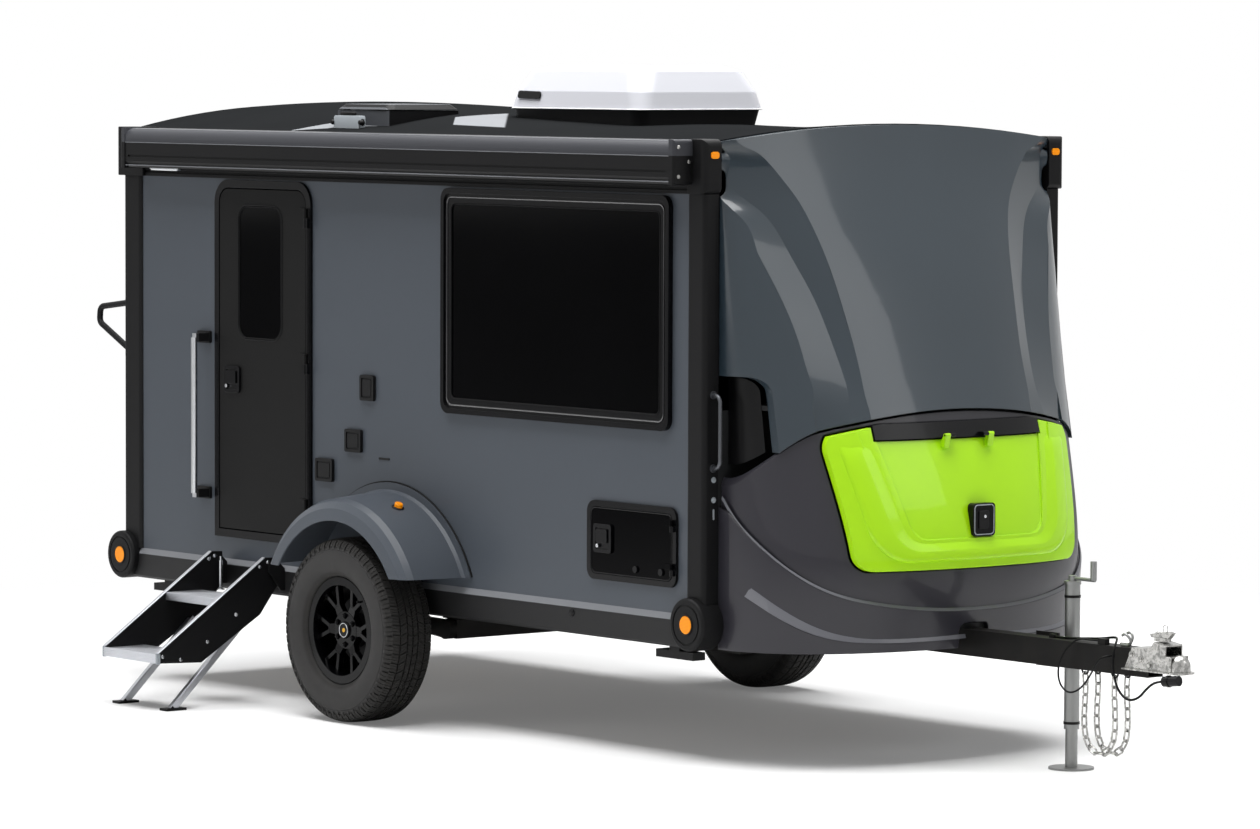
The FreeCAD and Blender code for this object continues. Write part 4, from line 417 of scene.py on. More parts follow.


# %% [markdown]
# ### Painted and moulded surfaces
# Most of the trailer is paint, gel coat or moulded plastic. They differ in colour, gloss and grain, so one
# recipe with a few numbers serves them all: mottle changes the colour by a few percent, haze changes the
# roughness in large patches, grain is a fine bump, and dust greys what is near the ground. Shine sets how
# much a surface mirrors, and edge is a radius that a Bevel node gives to sharp edges, in their light alone.
# A second colour can be laid over part of a piece by a mask, such as the silver bar of the grab handle. On
# the upper edge of the sills, the top of the awning's case, the side and top of the vent and two patches of
# the roof, that second colour is a painted highlight.

# %% Coats
def coat(name, colour, roughness, metallic=0.0, mottle=0.06, haze=0.08, grain=0.0, grain_scale=900.0,
         gloss=0.0, dust=0.0, shine=0.3, edge=0.0, over=None, second="#808080", second_rough=0.3,
         second_metal=0.0):
    """Base = colour * (1 +- mottle * noise); roughness = value + haze * noise; over(work) masks a second
    colour with a roughness and metal of its own."""
    work = Finish(name)
    base = srgb(colour)
    patches = work.noise(3.5, 4.0)
    specks = work.noise(140.0, 2.0)
    paint = work.between(patches, shade(base, 1 - mottle), shade(base, 1 + mottle))
    if dust:
        low = (1.0 - work.band(work.axis("Z"), 0.15, 0.9)) * dust * work.noise(11.0, 5.0, 0.65)
        paint = work.between(low, paint, srgb("#8E887E"))
    rough = patches * haze + specks * (haze * 0.4) + (roughness - haze * 0.7)
    sockets = {"Base_Color": paint, "Roughness": rough, "Metallic": metallic, "Specular_IOR_Level": shine}
    if over:
        mask = over(work)
        sockets["Base_Color"] = work.between(mask, paint, srgb(second))
        sockets["Roughness"] = rough * (1.0 - mask) + mask * second_rough
        sockets["Metallic"] = (1.0 - mask) * metallic + mask * second_metal
    if gloss:
        sockets["Coat_Weight"] = gloss
        sockets["Coat_Roughness"] = 0.06
    rounded = work.node("ShaderNodeBevel", {"samples": 6}, {"Radius": edge}) if edge else None
    if grain:
        sockets["Normal"] = work.bump(work.noise(grain_scale, 2.0), grain, rounded)
    elif edge:
        sockets["Normal"] = rounded
    return work.finish(**sockets)


def sill_painted_highlight(work):
    """The sloping upper edge of a sill, painted a light grey as a painted highlight."""
    return work.band(work.axis("Z"), 0.5362, 0.5372)


def handle_bar(work):
    """The bar of the grab handle, outside its two feet."""
    return work.axis("Y") < -0.9452


def awning_painted_highlight(work):
    """The rounded upper part of the awning's case, above a fine line, painted a lighter grey as a painted
    reflection.
    """
    return work.band(work.axis("Z"), 2.2715, 2.2735)


def spangle(work):
    """The crystals of a zinc coat."""
    return work.band(work.noise(60.0, 4.0, 0.7), 0.40, 0.66)


def roof_painted_light(work):
    """Two patches of painted light on the roof, where light falls on it: a quarter between vent and air unit,
    bounded by the slanting coordinate t = 0.626 x + 0.780 y, and a narrow wedge beside the vent."""
    y = work.axis("Y")
    t = work.axis("X") * 0.626 + y * 0.780
    broad = work.band(t, 0.722, 0.728) * (1.0 - work.band(t, 0.930, 0.942)) * work.band(y, -0.615, -0.606)
    broad = broad * (y < (t - 0.723) * 1.016 - 0.439)
    wedge = (y > (t - 0.087) * 0.315 - 0.81) * (y < (t - 0.087) * 0.8 - 0.79) * (y < -0.655) * (t < 0.44)
    return broad + wedge


def vent_painted_highlight(work):
    """The side and the top of the vent, painted paler than its front as a painted highlight."""
    return (work.axis("Y") < -0.7025) + (work.axis("Z") > 2.4398)


finishes = {
    "panel": coat("panel_grey", "#464B52", 0.38, mottle=0.025, gloss=0.05, shine=0.2),
    "cap": coat("cap_gel_coat", "#232E36", 0.30, mottle=0.03, gloss=0.5, shine=0.3, edge=0.004),
    "fairing": coat("fairing_gel_coat", "#29282E", 0.38, mottle=0.03, gloss=0.2, shine=0.25, edge=0.008),
    "post": coat("black_powder_coat", "#111112", 0.5, mottle=0.06, grain=0.00012, shine=0.12, edge=0.003),
    # The sills' upper edge takes a painted highlight in light grey.
    "sill": coat("sill_powder_coat", "#1B1B1C", 0.5, mottle=0.06, grain=0.00012, shine=0.2, over=sill_painted_highlight,
                 second="#75777B", second_rough=0.35),
    "door": coat("door_skin", "#111111", 0.5, mottle=0.04, grain=0.00006, shine=0.1),
    "trim": coat("black_gloss_trim", "#08080A", 0.24, mottle=0.05, haze=0.05, gloss=0.05, shine=0.15,
                 edge=0.002),
    "hatch": coat("hatch_gloss", "#020203", 0.12, mottle=0.1, haze=0.04, shine=0.04, edge=0.002),
    "plastic": coat("black_grained_plastic", "#0E0E0F", 0.5, mottle=0.08, grain=0.00025, grain_scale=600.0,
                    shine=0.15),
    "handle": coat("grab_handle", "#0C0C0D", 0.5, shine=0.15, mottle=0.08, grain=0.0002, over=handle_bar,
                   second="#D9DBDE", second_rough=0.16, second_metal=1.0),
    "lime": coat("lime_gel_coat", "#A6DE0A", 0.34, mottle=0.02, gloss=0.3, shine=0.2, edge=0.006),
    "chassis": coat("chassis_paint", "#0B0B0C", 0.5, mottle=0.15, grain=0.0002, dust=0.06, shine=0.12),
    # The roof takes two patches of painted light in a light grey.
    "roof": coat("roof_sheet", "#1D1E1F", 0.8, mottle=0.12, haze=0.15, shine=0.0, over=roof_painted_light,
                 second="#7C7E81", second_rough=0.45),
    # The vent's side and top take a painted highlight in a paler grey.
    "vent": coat("vent_plastic", "#0B0B0C", 0.4, mottle=0.08, grain=0.0001, shine=0.1, over=vent_painted_highlight,
                 second="#4A4C50", second_rough=0.4),
    # The rounded top of the awning's case takes a painted reflection in a lighter grey.
    "awning": coat("awning_aluminium", "#111112", 0.4, mottle=0.04, haze=0.05, shine=0.12, over=awning_painted_highlight,
                   second="#3B3C40", second_rough=0.3),
    "white": coat("white_cover", "#C3C4CA", 0.38, mottle=0.015, haze=0.05, shine=0.3, edge=0.006),
    "deck": coat("deck_board", "#6E604C", 0.7, mottle=0.2, grain=0.0004, grain_scale=200.0),
    "liner": coat("dark_liner", "#131415", 0.6, mottle=0.1, grain=0.0002),
    "zinc": coat("zinc_plate", "#B4B3B0", 0.26, metallic=0.95, mottle=0.18, haze=0.25, grain=0.0003,
                 grain_scale=160.0, over=spangle, second="#7A7A78", second_rough=0.35, second_metal=0.95),
    "galvanised": coat("galvanised_tube", "#858685", 0.42, metallic=0.9, mottle=0.15, haze=0.2),
    # A grey for thin beads that stand as painted highlights along edges.
    "painted_highlight_grey": coat("painted_highlight_grey", "#606266", 0.4, mottle=0.05),
    "glossy_rib": coat("glossy_rib", "#1C1C1E", 0.24, mottle=0.05, gloss=0.8, shine=0.5),
    # The fairing's ledges are its dark gel coat, coloured light grey here as a painted highlight.
    "ledge": coat("fairing_ledge_painted_highlight", "#65666C", 0.35, mottle=0.03, gloss=0.2),
    "bright": coat("bright_metal", "#C4C6C9", 0.24, metallic=1.0, mottle=0.03, haze=0.06),
    "cast": coat("cast_iron", "#1B1B1C", 0.6, metallic=0.4, mottle=0.2, grain=0.0004, grain_scale=400.0),
    "wheel": coat("wheel_gloss_black", "#020203", 0.2, mottle=0.05, haze=0.05, shine=0.12, edge=0.003),
    "pocket": coat("pocket_gloss", "#050506", 0.3, mottle=0.1, shine=0.2),
    "grip": coat("grip_grey", "#55575B", 0.35, metallic=0.7, mottle=0.1),
    "seal": coat("seal_rubber", "#070708", 0.6, mottle=0.1, grain=0.0002, shine=0.12),
    "gold": coat("gold_disc", "#C79A3A", 0.3, metallic=0.9, mottle=0.05),
    "shroud_seam": coat("seam_white", "#F2F2F2", 0.5, mottle=0.02),
    "steel_grey": coat("grey_bracket", "#8E9499", 0.4, mottle=0.06),
}
print(len(finishes), "coats")

# %% [markdown]
# ### Metal with a grain
# The step treads are drawn aluminium: fine scratches run along the profile, so the noise is stretched thirty
# times along x. Its bump breaks the reflection into soft lines.

# %% Drawn aluminium
def drawn_metal(name, colour):
    """Roughness and bump from noise that is long in x and short across it."""
    work = Finish(name)
    lines = work.noise(1.0, 3.0, 0.6, at=work.stretched(14.0, 420.0, 420.0))
    blotch = work.noise(9.0, 3.0)
    base = srgb(colour)
    tint = work.between(blotch, shade(base, 0.86), shade(base, 1.08))
    return work.finish(Base_Color=tint, Metallic=0.9, Roughness=lines * 0.2 + blotch * 0.1 + 0.2,
                       Normal=work.bump(lines, 0.00012))


finishes["drawn"] = drawn_metal("drawn_aluminium", "#BFC1C6")
print("drawn aluminium of", len(finishes["drawn"].node_tree.nodes), "nodes")

# %% [markdown]
# ### Lenses, glass and rubber
# The marker lenses are clear orange plastic over a reflector: a saturated colour with fine ribs and a small
# glow. The side window is acrylic so dark that it reads as black gloss. A sheath is smooth soft plastic.

# %% Lenses, glass and rubber
def lens_plastic(name, colour, glow):
    """Ribbed coloured plastic: a wave along z shades and bumps it."""
    work = Finish(name)
    ribs = work.node("ShaderNodeTexWave", {"bands_direction": "Z"}, {"Vector": work.place, "Scale": 60.0})
    tint = work.between(ribs, shade(srgb(colour), 0.8), shade(srgb(colour), 1.15))
    return work.finish(Base_Color=tint, Roughness=0.3, Coat_Weight=0.05, Specular_IOR_Level=0.2,
                       Emission_Color=tint, Emission_Strength=glow, Normal=work.bump(ribs, 0.0004))


def dark_glass(name, colour, clear):
    """Smoked acrylic: low reflection, faint streaks in colour and gloss."""
    work = Finish(name)
    streaks = work.noise(1.6, 4.0)
    return work.finish(Base_Color=work.between(streaks, shade(srgb(colour), 0.7), shade(srgb(colour), 1.4)),
                       Roughness=streaks * 0.04 + 0.04, Alpha=clear, Specular_IOR_Level=0.07)


def tyre_rubber(name, colour):
    """Rubber: fine mould rings from a wave of the distance to the axle, road dust and a matt grain."""
    work = Finish(name)
    x, z = work.axis("X") - AXLE_X, work.axis("Z") - AXLE_Z
    radius = (x * x + z * z) ** 0.5
    rings = work.node("ShaderNodeMath", {"operation": "SINE"}, {0: radius * 1500.0})
    wall = work.band(radius, 0.225, 0.24) * (1.0 - work.band(radius, 0.325, 0.335))
    dust = work.noise(14.0, 5.0, 0.65) * 0.18
    base = srgb(colour)
    tint = work.between(dust, work.between(wall, shade(base, 0.42), base), srgb("#5A564F"))
    height = rings * wall * 0.25 + work.noise(700.0, 2.0)
    return work.finish(Base_Color=tint, Roughness=work.noise(40.0, 3.0) * 0.15 + 0.55, Specular_IOR_Level=0.2,
                       Normal=work.bump(height, 0.00018))


finishes["amber"] = lens_plastic("amber_lens", "#EE8C00", 0.16)
finishes["red"] = lens_plastic("red_lens", "#9C1010", 0.05)
finishes["window"] = dark_glass("tinted_acrylic", "#050506", 0.96)
finishes["rubber"] = tyre_rubber("tyre_rubber", "#2C2C2D")
finishes["sheath"] = coat("cable_sheath", "#060607", 0.38, mottle=0.1, shine=0.12)
print("finishes", sorted(finishes))

# %% [markdown]
# ## Dressing the CAD pieces
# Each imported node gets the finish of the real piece. Nodes that a finer piece will replace are listed too, so
# that nothing is ever left in plain grey.

# %% Who wears what
wears = {
    "panel": ("side_wall_right", "side_wall_left", "rear_wall", "fenders"),
    "cap": ("nose_cap",), "fairing": ("nose_fairing",), "lime": ("front_lid",), "sill": ("side_sills",),
    "post": ("corner_posts", "lower_corner_drums", "top_corner_caps", "roof_rails",
             "rear_hoop", "step_bracket", "entry_steps"),
    "door": ("entry_door",), "hatch": ("side_hatch",), "handle": ("grab_handle",),
    "trim": ("lid_hinge_bar", "lid_latch", "window_frames", "hatch_frame", "hatch_latch", "door_latch",
             "wiring_plug", "door_frame"),
    "plastic": ("ac_base", "inlet_ports"), "vent": ("vent_base", "vent_lid"), "awning": ("awning_cassette",),
    "chassis": ("chassis_frame", "tongue_beam", "axle", "jack_bracket"),
    "roof": ("roof_panel",), "white": ("ac_shroud",), "deck": ("floor_panel",),
    "liner": ("front_bulkhead", "nose_decks"), "pocket": ("nose_pockets",),
    "zinc": ("coupler", "safety_chains"), "galvanised": ("tongue_jack",),
    "grip": ("nose_handles",),
    "cast": ("hub_right", "hub_left", "stabilisers"), "wheel": ("rim_right", "rim_left"),
    "amber": ("marker_lights",), "red": ("rear_lamps",),
    "window": ("window_panes", "door_window"), "rubber": ("tyre_right", "tyre_left"),
    "sheath": ("wiring_cord", "brake_cable"),
}
dressed = set()
for finish, names in wears.items():
    for name in names:
        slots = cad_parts[name].data.materials
        slots.clear()
        slots.append(finishes[finish])
        dressed.add(name)
bare = sorted(set(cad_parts) - dressed)
print("dressed", len(dressed), "of", len(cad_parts), "nodes; bare:", bare)

# %% [markdown]
# ## Tyres
# A tyre is a carcass turned from its half section, with a tread of separate rubber lugs on it. Each lug is a
# small strip that follows the crown and has its own skirt, cut in slices by sipes. Each half of the tread has
# two rings of centre lugs, skewed opposite ways, and shoulder lugs that wrap down the sidewall. The same
# arrays, mirrored, make the left tyre.

# %% Tread and carcass
WHEEL = np.array([AXLE_X, -1.050, AXLE_Z])
PITCHES = 60    # lugs in one ring
LUG_DEPTH, SHOULDER_DEPTH = 0.0095, 0.0070


def half_section():
    """The carcass from the middle of the tread to the bead, as (out, radius) pairs."""
    return [(0.0, 0.3585), (0.050, 0.3580), (0.080, 0.3545), (0.094, 0.3470), (0.1015, 0.3370),
            (0.1065, 0.3280), (0.1095, 0.3205), (0.1115, 0.3195), (0.1120, 0.3180), (0.1105, 0.3165),
            (0.1135, 0.3060), (0.1160, 0.2920), (0.1172, 0.2780), (0.1168, 0.2640), (0.1140, 0.2500),
            (0.1085, 0.2380), (0.1020, 0.2295), (0.0985, 0.2262), (0.0970, 0.2230), (0.0935, 0.2190),
            (0.0905, 0.2165), (0.0850, 0.2150), (0.0790, 0.2140), (0.0790, 0.1925)]


def lugs(track, depth, span, phase, skew):
    """Strips of rubber round the tyre. track lists (out, radius) across a lug, and its edges lie at
    angle = (k + phase + span edge) * pitch + skew * (out - first out). Each has a skirt depth lower."""
    out, radius = np.asarray(track, float).T
    pitch = 2 * math.pi / PITCHES
    k = np.arange(PITCHES)[:, None, None, None]
    edge = np.array(span)[None, None, :, None]
    drop = np.array([0.0, depth])[None, None, None, :]
    o = out[None, :, None, None]
    r = radius[None, :, None, None] - drop
    a = (k + phase + edge) * pitch + skew * (o - out[0]) + 0 * r
    o = o + 0 * a
    points = np.stack([WHEEL[0] + r * np.cos(a), WHEEL[1] - o, WHEEL[2] + r * np.sin(a)], -1)
    n = len(track)
    index = np.arange(n * 4).reshape(n, 2, 2)
    tops = [[index[i, 0, 0], index[i, 1, 0], index[i + 1, 1, 0], index[i + 1, 0, 0]] for i in range(n - 1)]
    sides = [[index[i, e, 0], index[i + 1, e, 0], index[i + 1, e, 1], index[i, e, 1]] for i in range(n - 1)
             for e in (0, 1)]
    ends = [[index[i, 0, 0], index[i, 1, 0], index[i, 1, 1], index[i, 0, 1]] for i in (0, n - 1)]
    one = np.array(tops + sides + ends)
    faces = (one[None] + (np.arange(len(k)) * n * 4)[:, None, None]).reshape(-1, 4)
    return points.reshape(-1, 3), faces


def tyre_shapes():
    """Carcass and all rows of lugs for the right wheel."""
    half = half_section()
    section = [(-o, r) for o, r in reversed(half)] + half[1:]
    shapes = [turned(section, WHEEL, (0, 1, 0), 192, closed=True)]
    slices = ((0.04, 0.31), (0.35, 0.62), (0.66, 0.90))
    for side in (-1, 1):
        middle = [(side * o, r) for o, r in ((0.0035, 0.3670), (0.012, 0.3670), (0.0215, 0.3668))]
        second = [(side * o, r) for o, r in ((0.0285, 0.3667), (0.042, 0.3664), (0.056, 0.3657))]
        shoulder = [(side * o, r) for o, r in ((0.063, 0.3650), (0.078, 0.3632), (0.092, 0.3585),
                                               (0.1015, 0.3505), (0.1075, 0.3405), (0.1105, 0.3310))]
        for start, stop in slices:
            shapes.append(lugs(middle, LUG_DEPTH, (start, stop), 0.0, side * 1.6))
            shapes.append(lugs(second, LUG_DEPTH, (start, stop), 0.5, -1.3 * side))
            shapes.append(lugs(shoulder[:3], LUG_DEPTH, (start, stop), 0.2, side * 0.6))
        shapes.append(lugs(shoulder[2:], SHOULDER_DEPTH, (0.03, 0.40), 0.2 + 0.018 * side, 0.0))
        shapes.append(lugs(shoulder[2:5], SHOULDER_DEPTH, (0.47, 0.86), 0.2, 0.0))
    return shapes


right_shapes = tyre_shapes()
left_shapes = mirror_y(right_shapes)
for side, shapes in (("right", right_shapes), ("left", left_shapes)):
    made = piece("road_tyre_" + side, shapes, finishes["rubber"], "wheel_" + side, sharp=28)
    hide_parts("tyre_" + side)
    print(made.name, len(made.data.polygons), "faces")

# %% [markdown]
# ## Wheel details
# Six dark nuts sit in the pockets of the cast wheel. The cap has a bright raised ring with a small blank
# gold disc, where the real one carries a sign. A valve stem stands in the rim's well.

# %% Nuts, cap and valve
def wheel_shapes():
    """Nuts, then cap ring, disc and valve, each as a list of shapes at the right wheel."""
    face = WHEEL - (0, 0.062, 0)
    outward = (0, -1, 0)
    stud = [(0.002, 0), (0.002, 0.0060), (0.0225, 0.0060), (0.0240, 0.0045), (0.0242, 0)]
    nuts = []
    for i in range(6):
        a = math.radians(60 * (i + 0.5))
        at = face + (0.057 * math.cos(a), 0.0115, 0.057 * math.sin(a))
        nuts += bolt(at, outward, 0.0098, 0.018, washer=False)
        nuts.append(turned(stud, at, outward, 16))
    top = face - (0, 0.008, 0)
    section = [(-0.001, 0.0255), (0.0018, 0.0258), (0.0026, 0.0272), (0.0018, 0.0288), (-0.001, 0.0292)]
    ring = [turned(section, top, outward, 48, closed=True)]
    disc = [turned([(0.0, 0.0), (0.0, 0.0085), (0.0012, 0.0078), (0.0016, 0.0)], top, outward, 32)]
    valve = [turned([(0, 0), (0, 0.006), (0.010, 0.0045), (0.034, 0.0042), (0.034, 0)],
                    WHEEL + (0.128, -0.070, 0.118), (0.2, -1, 0.2), 16)]
    return nuts, ring, disc, valve


for side in ("right", "left"):
    groups = wheel_shapes() if side == "right" else [mirror_y(group) for group in wheel_shapes()]
    kinds = (("wheel_nuts_", "wheel"), ("cap_ring_", "bright"), ("cap_disc_", "gold"), ("valve_", "seal"))
    for shapes, (label, finish) in zip(groups, kinds):
        piece(label + side, shapes, finishes[finish], "wheel_" + side)
print("wheel details on both sides")

# %% [markdown]
# ## Seals and edge lines
# Most of what the eye reads as a line on the panels is a seal or a narrow edge. Each is a thin bead that
# follows a rounded rectangle on the wall, swept as a ring of small circles. A glossy rib on the frame of each
# side window catches the light all round.

# %% Beads
def bead(path, radius, sides=8, closed=True):
    """A round bead along a polyline: at each point a circle stands square to the path's direction."""
    path = np.asarray(path, float)
    if closed:
        ahead = np.roll(path, -1, 0) - np.roll(path, 1, 0)
    else:
        ahead = np.gradient(path, axis=0)
    ahead /= np.linalg.norm(ahead, axis=1)[:, None]
    near = np.argmin(np.abs(ahead).max(0))
    u = np.cross(ahead, np.eye(3)[near])
    u /= np.linalg.norm(u, axis=1)[:, None]
    v = np.cross(ahead, u)
    a = 2 * math.pi * np.arange(sides) / sides
    ring = np.cos(a)[None, :, None] * u[:, None] + np.sin(a)[None, :, None] * v[:, None]
    points = (path[:, None] + radius * ring).reshape(-1, 3)
    return points, sheet_faces(len(path), sides, closed, True)


def wall_loop(x0, x1, z0, z1, corner, y):
    """A rounded rectangle on a side wall."""
    flat = loop(x1 - x0, z1 - z0, corner, 9)
    return np.stack([flat[:, 0] + (x0 + x1) / 2, np.full(len(flat), y), flat[:, 1] + (z0 + z1) / 2], -1)


WALL_Y, DOOR_Y = -0.8835, -0.894
piece("door_glass_seal", [bead(wall_loop(0.829, 1.140, 1.472, 2.024, 0.064, DOOR_Y - 0.0002), 0.0028)],
      finishes["post"], "door")
piece("door_glass_lip", [bead(wall_loop(0.836, 1.133, 1.479, 2.017, 0.057, DOOR_Y + 0.001), 0.0030)],
      finishes["seal"], "door")
piece("window_seals", [bead(wall_loop(2.288, 3.585, 1.300, 2.062, 0.025, WALL_Y - 0.0135), 0.0030),
                       bead(wall_loop(2.245, 3.628, 1.257, 2.105, 0.034, WALL_Y - 0.0150), 0.0022)],
      finishes["seal"], both=True)
piece("window_ribs", [bead(wall_loop(2.262, 3.611, 1.274, 2.088, 0.030, WALL_Y - 0.0150), 0.0036)],
      finishes["glossy_rib"], both=True)
piece("door_edge_channel", [bead([(x, -0.8965, 0.664), (x, -0.8965, 2.02)], 0.0032, closed=False)
                            for x in (1.3235, 1.3325)], finishes["trim"])
piece("hatch_lip", [bead(wall_loop(3.1735, 3.6575, 0.6815, 0.9285, 0.026, WALL_Y - 0.0115), 0.0026)],
      finishes["trim"], "hatch")
piece("hatch_seal", [bead(wall_loop(3.149, 3.682, 0.657, 0.953, 0.040, WALL_Y - 0.0008), 0.0030)],
      finishes["seal"])
print("seals placed")

# %% [markdown]
# ## Fender trims
# A rubber welt fills the joint between each fender and the wall, and a rolled lip stiffens the outer edge.
# Both are arcs about a centre just under the axle, and end where the fender is cut off level. The small amber
# lamps sit in black sockets.

# %% Fender welt, lip and lamp sockets
def fender_arc(radius, y, count=72):
    """An arc about the fender's centre down to the level where the fender ends."""
    centre_z, cut_z = 0.360, 0.602
    low = math.asin((cut_z - centre_z) / radius)
    a = np.linspace(low, math.pi - low, count)
    return np.stack([AXLE_X + radius * np.cos(a), np.full(count, y), centre_z + radius * np.sin(a)], -1)


piece("fender_welt", [bead(fender_arc(0.5845, -0.8865), 0.0042, closed=False)], finishes["seal"], both=True)
piece("fender_lip", [bead(fender_arc(0.4470, -1.1705), 0.0042, closed=False)], finishes["panel"], both=True)
# Two thin grey beads on each fender's crown by the wall are painted highlights of the flange's edges.
fender_highlight_lines = [bead(fender_arc(radius, -0.8925), 0.0018, closed=False) for radius in (0.5805, 0.5560)]
piece("fender_highlight_lines", fender_highlight_lines, finishes["steel_grey"], both=True)
tilt = math.radians(22)
lamp_axis = np.array([math.sin(tilt), 0, math.cos(tilt)])
lamp_foot = np.array([AXLE_X, -1.000, AXLE_Z]) + lamp_axis * 0.5325
section = [(-0.016, 0.0175), (-0.016, 0.027), (0.001, 0.026), (0.0045, 0.0225), (0.0045, 0.0175)]
piece("fender_lamp_sockets", [turned(section, lamp_foot, lamp_axis, 40, closed=True)], finishes["plastic"],
      both=True)
print("fender lamp at", np.round(lamp_foot, 3))

# %% [markdown]
# ## Entry steps
# The steps are black side plates with bright trims: a cap strip along each sloping edge, ribbed aluminium
# treads with a deep nosing, a short gas strut, and bright edges on the two legs. Ribs on a tread are a sheet
# whose height follows a rounded square wave across y.

# %% Step trims and treads
def ribbed_tread(x0, x1, y0, y1, z, pitch=0.012, height=0.0016):
    """Tread surface: z = base + height * clip(sin(2 pi y / pitch) * 3, 0, 1), closed underneath."""
    y = np.linspace(y0, y1, int(abs(y1 - y0) / pitch * 12))
    wave = np.clip(np.sin(2 * math.pi * (y - y0) / pitch) * 3, 0, 1) * height
    top = np.stack([np.stack([np.full_like(y, x), y, z + 0.0015 + wave], -1) for x in (x0, x1)])
    low = top.copy()
    low[:, :, 2] = z + 0.0001
    points = np.concatenate([top[0], top[1], low[1], low[0]])
    return points, sheet_faces(4, len(y), True, False)


def nosing(x0, x1, y, z0, z1, ribs=5):
    """Front face of a tread: long ribs on a shallow channel, as a bar with beads on it."""
    shapes = [block((x0, y - 0.003, z0), (x1, y, z1), 0.0008)]
    for z in np.linspace(z0 + 0.005, z1 - 0.005, ribs):
        shapes.append(bead([(x0 + 0.002, y - 0.003, z), (x1 - 0.002, y - 0.003, z)], 0.0013, closed=False))
    return shapes


def edge_strip(x, a, b, width, thick, lift):
    """A flat strip along a sloping plate edge from a to b, both (y, z)."""
    (ya, za), (yb, zb) = a, b
    along = np.array([0.0, yb - ya, zb - za])
    length = np.linalg.norm(along)
    along /= length
    normal = np.cross((1.0, 0.0, 0.0), along)
    normal *= math.copysign(1, normal[2])
    middle = np.array([x, (ya + yb) / 2, (za + zb) / 2]) + normal * lift
    levels = ((0, 0.0008), (0.0008, 0), (thick - 0.0008, 0), (thick, 0.0008))
    u, v = ((1, 0, 0), along) if np.dot(np.cross((1, 0, 0), along), normal) > 0 else (along, (1, 0, 0))
    sizes = (width, length) if u[0] == 1 else (length, width)
    return stack(middle, u, v, *sizes, 0.002, levels, 3)


TREAD_X0, TREAD_X1 = 0.771, 1.135
step_bright = []
for x in (0.763, 1.143):
    step_bright.append(edge_strip(x, (-0.987, 0.5947), (-1.510, 0.2345), 0.019, 0.0045, 0.0))
for x in (0.782, 1.124):
    step_bright.append(edge_strip(x, (-1.106, 0.328), (-1.4385, 0.010), 0.022, 0.003, 0.0002))
lean = np.array([0.0, -1.4225 + 1.090, 0.010 - 0.330])
for x in (0.794, 1.136):
    step_bright.append(stack((x + 0.0001, -1.256, 0.170), lean, np.cross((1, 0, 0), lean),
                             float(np.linalg.norm(lean)), 0.026, 0.002,
                             ((0, 0.0005), (0.0014, 0), (0.002, 0.0008)), 3))
step_bright += [ribbed_tread(TREAD_X0, TREAD_X1, -1.2115, -1.041, 0.438),
                ribbed_tread(TREAD_X0, TREAD_X1, -1.4995, -1.319, 0.228)]
step_bright += nosing(TREAD_X0, TREAD_X1, -1.2120, 0.408, 0.441)
step_bright += nosing(0.760, 1.146, -1.5125, 0.196, 0.2335)
piece("step_brightwork", step_bright, finishes["drawn"], "steps")
caps = [block((x, -1.5165, 0.193), (x + 0.014, -1.4990, 0.2365), 0.002) for x in (0.7545, 1.1375)]
piece("step_end_caps", caps, finishes["steel_grey"], "steps")
strut = [turned([(0, 0), (0, 0.0085), (0.118, 0.0085), (0.118, 0.0045), (0.134, 0.0045), (0.134, 0)],
                (0.802, -0.964, 0.443), (0, 0, 1), 20),
         turned([(0, 0), (0, 0.017), (0.004, 0.016), (0.004, 0)], (0.802, -0.964, 0.4395), (0, 0, 1), 24)]
piece("step_strut", strut, finishes["bright"], "steps")
step_bolts = []
side_places = ((-0.972, 0.577), (-1.012, 0.560), (-1.487, 0.222), (-1.400, 0.205), (-1.270, 0.270),
               (-1.130, 0.372))
for x, way in ((1.150, 1), (0.756, -1)):
    for y, z in side_places:
        step_bolts += bolt((x, y, z), (way, 0, 0), 0.0050, 0.0035)
for y, z in ((-0.972, 0.577), (-1.000, 0.566)):
    step_bolts += bolt((0.770, y, z), (1, 0, 0), 0.0055, 0.004)
piece("step_bolts", step_bolts, finishes["bright"], "steps")
print("steps trimmed")

# %% [markdown]
# ## Bolts, plates and small lights on the body
# Small fixings make a vehicle believable: bolts on the front posts, plugs in the sills, a courtesy light
# under the awning and end screws on its caps.

# %% Body fixings
fixings = []
for z in (1.069, 0.994):
    fixings += bolt((3.8452, -0.848, z), (1, 0, 0), 0.0075, 0.005)
fixings.append(stack((3.8450, -0.848, 0.940), (0, 1, 0), (0, 0, 1), 0.007, 0.040, 0.0035,
                     ((0, 0), (0.002, 0), (0.003, 0.001))))
piece("post_fixings", fixings, finishes["steel_grey"], both=True)
plugs = []
for x in (0.620, 3.057):
    plugs.append(turned([(0, 0), (0, 0.0155), (0.003, 0.0150), (0.006, 0.0115), (0.0075, 0.006), (0.0078, 0)],
                        (x, -0.8955, 0.516), (0, -1, 0), 28))
piece("sill_plugs", plugs, finishes["trim"], both=True)
bezels = []
for x in (0.0, 3.780):
    bezels.append(turned([(0, 0.0345), (0, 0.0405), (0.0035, 0.0395), (0.0042, 0.0365), (0.0025, 0.0345)],
                         (x, -0.9255, 0.527), (0, -1, 0), 64, closed=True))
piece("marker_bezels", bezels, finishes["plastic"], both=True)
